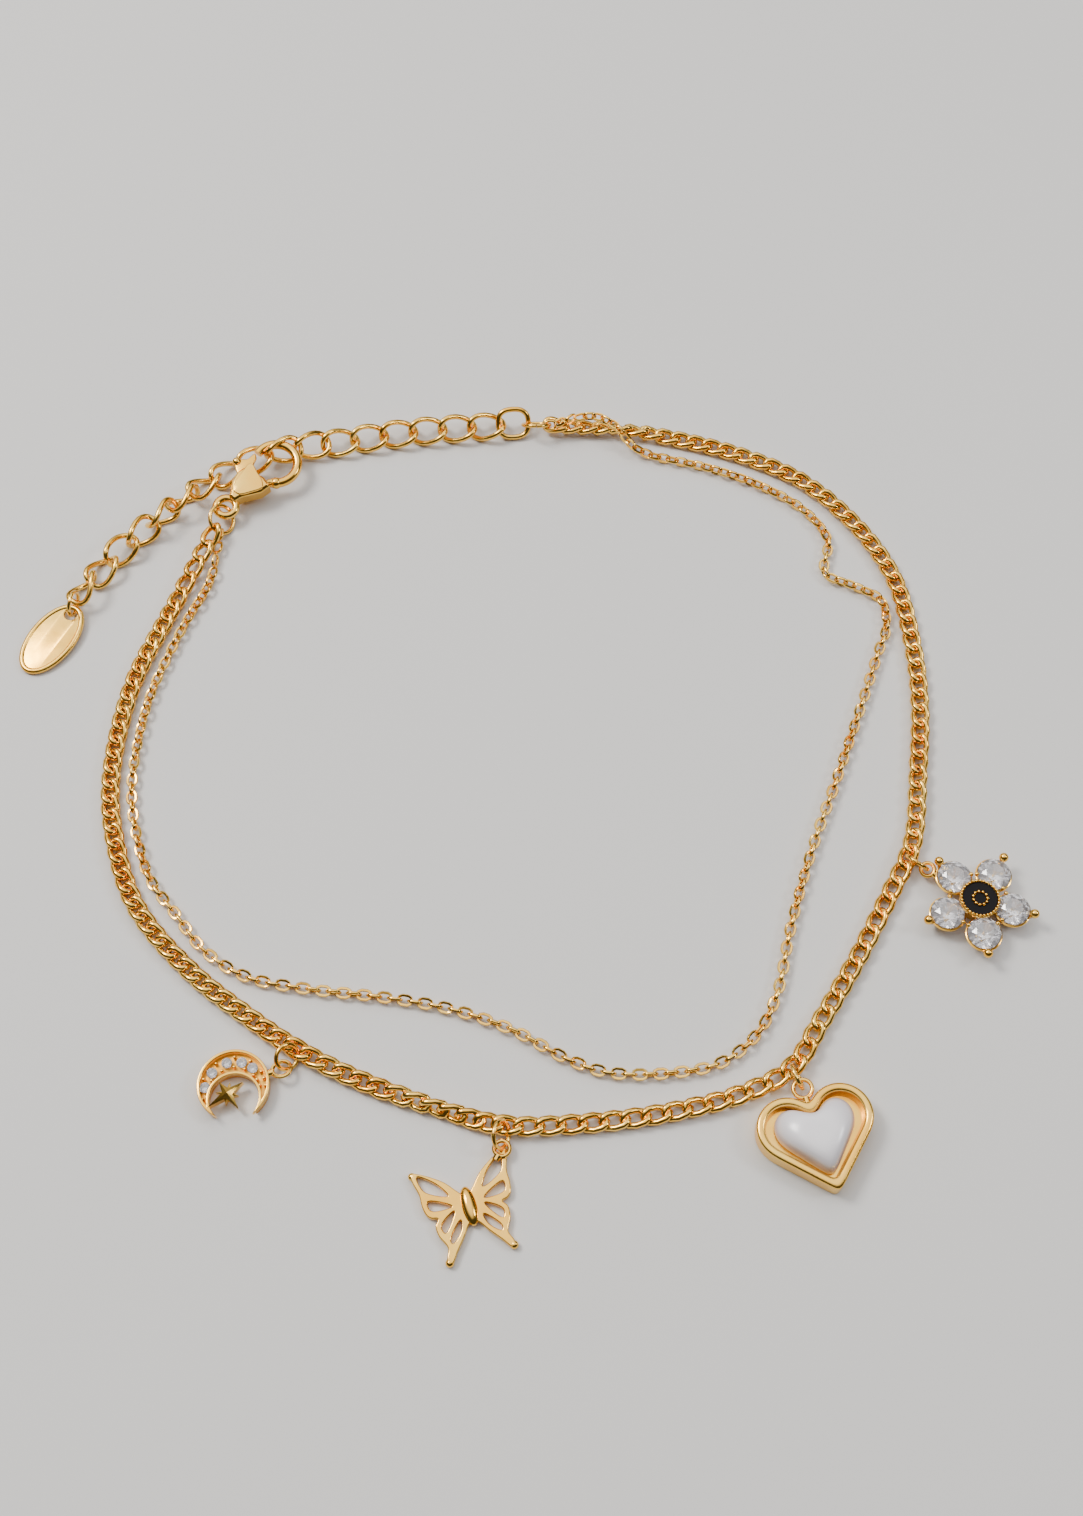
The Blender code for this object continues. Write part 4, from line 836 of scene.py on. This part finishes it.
for side in (1, -1):
    for (x, y), radius in FLY_KNOBS:
        spot = (x * FLY_SPAN, side * y * FLY_SPAN, FLY_THICKNESS / 2)
        add_ball(fly_body, spot, radius, 16, (1, 1, 0.95))
bmesh.ops.transform(fly_body, verts=fly_body.verts, matrix=fly_place)
add_work(fly_work, fly_body)
add_eyelet(fly_work, FLY_RING_SPOT, fly_centre, 0.0007, 0.0005, 0)
show(mesh_object("butterfly_shown", fly_work, 35), charm_gold, "gold", "butterfly")


# Heart charm: a deep cast and plated setting with a broad rounded rim and a sloping inner wall,
# round a puffed heart of pearl glaze. It lies on its flat back.
HEART_TIP = Vector((0.0289, -0.0400, 0.0)) + LAID_MOVE
HEART_HEADING = math.radians(106)
HEART_WIDTH = 0.0109
HEART_LOBE_RADIUS = 0.00295
HEART_TIP_TO_LOBES = 0.0060
HEART_TIP_REACH = 0.0006
HEART_HEIGHT = 0.0021
HEART_FOOT_EDGE = 0.0002
HEART_RIM = 0.00080
HEART_RIM_STEPS = 14
HEART_RIM_FULLNESS = 0.8
HEART_RIM_DROP = 0.00030
HEART_SLOPE = 0.00014
HEART_FLOOR = 0.0008
HEART_WEAR = 7
HEART_POINTS = 120
HEART_EYELET = Vector((0.0264, -0.0310, 0.00115)) + LAID_MOVE
PEARL_SEAT = 0.0001
PEARL_GIRDLE = 0.0002
PEARL_INSET = 0.00105
PEARL_NARROW = 0.87
PEARL_WEAR = 26
PEARL_HEIGHT = 0.0034
PEARL_MIDDLE = 0.0046
PEARL_FOOT_SHARE = 0.96
PEARL_PUFF = 0.62
PEARL_CROWN = (0.0034, 0.0032)
PEARL_CROWN_SHARE = 0.75
PEARL_LEVELS = 24
# The pearl's colour where it faces the camera, and a darker lilac painted shade towards its edges.
PEARL_EDGE_PAINTED_SHADE = (0.62, 0.55, 0.62, 1.0)
PEARL_FACING_COLOUR = (0.97, 0.95, 0.965, 1.0)


def even_line(outline, count):
    """The closed outline again, with evenly spaced points."""
    line = np.array(outline + outline[:1])
    marks = np.concatenate([[0.0], np.cumsum(np.linalg.norm(np.diff(line, axis=0), axis=1))])
    at = np.linspace(0.0, marks[-1], count, endpoint=False)
    return np.stack([np.interp(at, marks, line[:, axis]) for axis in range(2)], axis=1)


def heart_outline(inset, wear, arc=40, notch_arc=4, side=12):
    """A heart set in by a distance, its tip and notch rounded over: +X towards the notch."""
    radius = HEART_LOBE_RADIUS - inset
    lobe_x = HEART_TIP_TO_LOBES + HEART_TIP_REACH
    lobe_y = HEART_WIDTH / 2 - HEART_LOBE_RADIUS
    lobe_angle = math.asin(HEART_LOBE_RADIUS / math.hypot(lobe_x, lobe_y))
    side_angle = math.atan2(lobe_y, lobe_x) + lobe_angle
    notch_angle = math.asin(lobe_y / HEART_LOBE_RADIUS)
    notch_x = lobe_x + HEART_LOBE_RADIUS * math.cos(notch_angle)
    left = []
    for i in range(arc + 1):
        angle = side_angle + math.pi / 2 - (side_angle + math.pi / 2 + notch_angle) * i / arc
        left.append((lobe_x + radius * math.cos(angle), lobe_y + radius * math.sin(angle)))
    for i in range(1, notch_arc):
        angle = math.pi - notch_angle * (1 - i / notch_arc)
        left.append((notch_x + inset * math.cos(angle), inset * math.sin(angle)))
    tip = (inset / math.sin(side_angle), 0.0)
    half = [(tip[0] + (left[0][0] - tip[0]) * i / side, left[0][1] * i / side)
            for i in range(1, side)] + left
    whole = [tip] + half + [(notch_x - inset, 0.0)] + [(x, -y) for x, y in reversed(half)]
    line = even_line(whole, HEART_POINTS)
    for _ in range(wear):
        line = (np.roll(line, 1, axis=0) + 2 * line + np.roll(line, -1, axis=0)) / 4
    return [(x - HEART_TIP_REACH, y) for x, y in line]


def stack(levels):
    """A closed bmesh extruded through outlines of equal count, each at its height."""
    work = bmesh.new()
    ring = [work.verts.new((x, y, levels[0][1])) for x, y in levels[0][0]]
    edges = [work.edges.new((a, b)) for a, b in zip(ring, ring[1:] + ring[:1])]
    work.faces.new(ring)
    for outline, height in levels[1:]:
        made = set(bmesh.ops.extrude_edge_only(work, edges=edges)["geom"])
        ring = [next(edge.other_vert(vert) for edge in vert.link_edges
                     if edge.other_vert(vert) in made) for vert in ring]
        edges = [work.edges.get((a, b)) for a, b in zip(ring, ring[1:] + ring[:1])]
        for vert, (x, y) in zip(ring, outline):
            vert.co = (x, y, height)
    work.faces.new(ring)
    bmesh.ops.recalc_face_normals(work, faces=work.faces)
    return work


heart_place = Matrix.Translation(HEART_TIP) @ Matrix.Rotation(HEART_HEADING, 4, "Z")
heart_walls = [(heart_outline(HEART_FOOT_EDGE, HEART_WEAR), 0.0),
               (heart_outline(0.0, HEART_WEAR), HEART_FOOT_EDGE)]
for step in range(HEART_RIM_STEPS + 1):
    turn = math.pi * step / HEART_RIM_STEPS
    inset = HEART_RIM * (1 - math.cos(turn)) / 2
    drop = HEART_RIM_DROP * (1 - math.sin(turn) ** HEART_RIM_FULLNESS)
    heart_walls.append((heart_outline(inset, HEART_WEAR), HEART_HEIGHT - drop))
heart_walls.append((heart_outline(HEART_RIM + HEART_SLOPE, HEART_WEAR), HEART_FLOOR))
heart_work = stack(heart_walls)
bmesh.ops.transform(heart_work, verts=heart_work.verts, matrix=heart_place)
heart_notch = heart_place @ Vector((HEART_TIP_TO_LOBES, 0, 0))
add_eyelet(heart_work, HEART_EYELET, heart_notch, 0.00085, 0.0013, 10)
heart_gold = gold_finish("heart_gold", 0.18, 0.28)
show(mesh_object("heart_bezel", heart_work, 40), heart_gold, "gold", "heart_setting")

pearl_base = HEART_FLOOR + PEARL_SEAT
pearl_girdle = pearl_base + PEARL_GIRDLE
pearl_line = [(x, y * PEARL_NARROW) for x, y in heart_outline(PEARL_INSET, PEARL_WEAR)]
pearl_turns = [math.pi + 2 * math.pi * i / HEART_POINTS for i in range(HEART_POINTS)]
pearl_round = even_line([(PEARL_MIDDLE + PEARL_CROWN[0] * math.cos(turn),
                          PEARL_CROWN[1] * math.sin(turn)) for turn in pearl_turns], HEART_POINTS)
pearl_foot = [(PEARL_MIDDLE + PEARL_FOOT_SHARE * (x - PEARL_MIDDLE), PEARL_FOOT_SHARE * y)
              for x, y in pearl_line]
pearl_levels = [(pearl_foot, pearl_base)]
for step in range(PEARL_LEVELS):
    turn = math.pi / 2 * step / PEARL_LEVELS
    size, rise = math.cos(turn) ** PEARL_PUFF, math.sin(turn)
    ease = PEARL_CROWN_SHARE * rise**3
    ring = []
    for (x, y), (round_x, round_y) in zip(pearl_line, pearl_round):
        x, y = x + (round_x - x) * ease, y + (-round_y - y) * ease
        ring.append((PEARL_MIDDLE + size * (x - PEARL_MIDDLE), size * y))
    pearl_levels.append((ring, pearl_girdle + (PEARL_HEIGHT - pearl_girdle) * rise))
pearl_work = stack(pearl_levels)
bmesh.ops.transform(pearl_work, verts=pearl_work.verts, matrix=heart_place)

pearl_material, pearl_tree, pearl_shader = new_material("pearl_glaze")
pearl_place = pearl_tree.nodes.new("ShaderNodeTexCoord")
pearl_cloud = add_node(pearl_tree, "ShaderNodeTexNoise", Scale=320, Detail=2)
# Painted shade: a facing mix turns the pearl a darker lilac towards its edges, where its surface turns
# from the camera. A random cloud of tone is added to it.
pearl_edge_shade_weight = add_node(pearl_tree, "ShaderNodeLayerWeight", Blend=0.35)
pearl_cloud_and_edge_shade = pearl_tree.nodes.new("ShaderNodeMath")
pearl_cloud_and_edge_shade.operation = "MULTIPLY_ADD"
pearl_cloud_and_edge_shade.inputs[1].default_value = 0.35
pearl_tone_and_shade_mix = pearl_tree.nodes.new("ShaderNodeMix")
pearl_tone_and_shade_mix.data_type = "RGBA"
pearl_tone_and_shade_mix.inputs["A"].default_value = PEARL_FACING_COLOUR
pearl_tone_and_shade_mix.inputs["B"].default_value = PEARL_EDGE_PAINTED_SHADE
pearl_tree.links.new(pearl_place.outputs["Object"], pearl_cloud.inputs["Vector"])
pearl_tree.links.new(pearl_cloud.outputs["Fac"], pearl_cloud_and_edge_shade.inputs[0])
pearl_tree.links.new(pearl_edge_shade_weight.outputs["Facing"], pearl_cloud_and_edge_shade.inputs[2])
pearl_tree.links.new(pearl_cloud_and_edge_shade.outputs["Value"], pearl_tone_and_shade_mix.inputs["Factor"])
pearl_tree.links.new(pearl_tone_and_shade_mix.outputs["Result"], pearl_shader.inputs["Base Color"])
pearl_shader.inputs["Roughness"].default_value = 0.28
pearl_shader.inputs["Coat Weight"].default_value = 1.0
pearl_shader.inputs["Coat Roughness"].default_value = 0.24
pearl_shader.inputs["Sheen Weight"].default_value = 0.15
show(mesh_object("heart_cabochon", pearl_work, 60), pearl_material, "pearl", "heart_pearl")


# Flower charm: five round stones in open baskets with a ball-headed prong at each tip, round
# a disc with a beaded edge, a black enamel ring and a smaller ring of beads.
FLOWER_CENTRE = Vector((0.0441, -0.0129, 0.0)) + LAID_MOVE
FLOWER_TURN = math.radians(129.5)
FLOWER_STONE_RADIUS = 0.0016
FLOWER_STONE_ORBIT = 0.00325
FLOWER_GIRDLE = 0.00175
FLOWER_BALL_ORBIT = 0.00530
FLOWER_BALL_RADIUS = 0.00046
FLOWER_TOP = 0.0026
FLOWER_DISC_RADIUS = 0.0019
FLOWER_DISC_LOW = 0.0021
FLOWER_DISC_TOP = 0.0023
FLOWER_STEM_RADII = (0.0013, 0.0015)
FLOWER_EYELET = Vector((0.03975, -0.0093, 0.0010)) + LAID_MOVE
# Rings of beads on the disc: how many, the ring's radius and its wire
BEAD_RINGS = [(32, 0.00177, 0.00026), (11, 0.00068, 0.00014)]
BEAD_RADIUS = 0.00017
BEAD_SINK = 0.00006
BEAD_WIRE_SINK = 0.00028
# Wire rings of a basket: share of the stone's radius, height and wire
BASKET_RINGS = [(1.03, 0.00150, 0.00022), (0.62, 0.00045, 0.00034)]
# Prongs of a basket: way round, reach from the stone's middle, wire and ball
PRONGS = [(0, FLOWER_BALL_ORBIT - FLOWER_STONE_ORBIT, 0.0005, FLOWER_BALL_RADIUS)]
PRONGS += [(way, FLOWER_STONE_RADIUS + 0.00004, 0.0004, 0.00022) for way in (122, -122)]
PRONG_FOOT = 0.0003
PRONG_KNEE = 0.0011
PRONG_RISE = 0.00012
ARM_START = 0.0008
ARM_HEIGHT = 0.0004
ARM_WIRE = 0.0007
ENAMEL_RADII = (0.00172, 0.00164)
ENAMEL_SINK = 0.00014
ENAMEL_COLOUR = (0.012, 0.011, 0.012, 1.0)

flower_place = Matrix.Translation(FLOWER_CENTRE) @ Matrix.Rotation(FLOWER_TURN, 4, "Z")
flower_work = bmesh.new()


def turned_cylinder(work, radius, top_radius, low, high, place, sides=48):
    """A closed cylinder or cone between two heights."""
    shape = place @ Matrix.Translation((0, 0, (low + high) / 2))
    bmesh.ops.create_cone(work, cap_ends=True, segments=sides, radius1=radius, radius2=top_radius,
                          depth=high - low, matrix=shape)


turned_cylinder(flower_work, *FLOWER_STEM_RADII, 0.0, FLOWER_DISC_LOW, flower_place, 32)
turned_cylinder(flower_work, FLOWER_DISC_RADIUS, FLOWER_DISC_RADIUS, FLOWER_DISC_LOW,
                FLOWER_DISC_TOP, flower_place)
for count, radius, wire in BEAD_RINGS:
    level = flower_place @ Matrix.Translation((0, 0, FLOWER_TOP - BEAD_WIRE_SINK))
    flower_work.from_mesh(wire_mesh([ring_loop(level, radius, 48)], wire, 3))
    for step in range(count):
        angle = 2 * math.pi * step / count
        spot = (radius * math.cos(angle), radius * math.sin(angle), FLOWER_TOP - BEAD_SINK)
        add_ball(flower_work, flower_place @ Vector(spot), BEAD_RADIUS, 10)
for number in range(5):
    petal = flower_place @ Matrix.Rotation(-2 * math.pi / 5 * number, 4, "Z")
    seat = petal @ Matrix.Translation((FLOWER_STONE_ORBIT, 0, 0))
    for share, height, wire in BASKET_RINGS:
        level = seat @ Matrix.Translation((0, 0, height))
        loop = ring_loop(level, share * FLOWER_STONE_RADIUS, 40)
        flower_work.from_mesh(wire_mesh([loop], wire, 2))
    for way_deg, reach, wire, ball in PRONGS:
        way = seat @ Matrix.Rotation(math.radians(way_deg), 4, "Z")
        foot = way @ Vector((0.5 * FLOWER_STONE_RADIUS, 0, PRONG_FOOT))
        knee = way @ Vector((reach - PRONG_FOOT, 0, PRONG_KNEE))
        head = way @ Vector((reach, 0, FLOWER_GIRDLE + PRONG_RISE))
        flower_work.from_mesh(wire_mesh([[foot, knee, head]], wire, 3, False))
        add_ball(flower_work, head, ball, 16)
    arm = [petal @ Vector((x, 0, ARM_HEIGHT)) for x in (ARM_START, FLOWER_STONE_ORBIT)]
    flower_work.from_mesh(wire_mesh([arm], ARM_WIRE, 2, False))
    brilliant(f"flower_brilliant_{number + 1}", FLOWER_STONE_RADIUS, f"flower_stone_{number + 1}")
add_eyelet(flower_work, FLOWER_EYELET, FLOWER_CENTRE, 0.00064, 0.0012, 15)
show(mesh_object("flower_basket", flower_work, 40), charm_gold, "gold", "flower_setting")

enamel_material, enamel_tree, enamel_shader = new_material("enamel_black")
_, enamel_gloss = speckle(enamel_tree, 800, 2, 0.06, 0.16)
enamel_tree.links.new(enamel_gloss, enamel_shader.inputs["Roughness"])
enamel_shader.inputs["Base Color"].default_value = ENAMEL_COLOUR
enamel_shader.inputs["Specular IOR Level"].default_value = 0.06
enamel_work = bmesh.new()
turned_cylinder(enamel_work, *ENAMEL_RADII, FLOWER_DISC_TOP, FLOWER_TOP - ENAMEL_SINK, flower_place)
show(mesh_object("flower_enamel_shown", enamel_work, 40), enamel_material, "black_enamel",
     "flower_enamel")
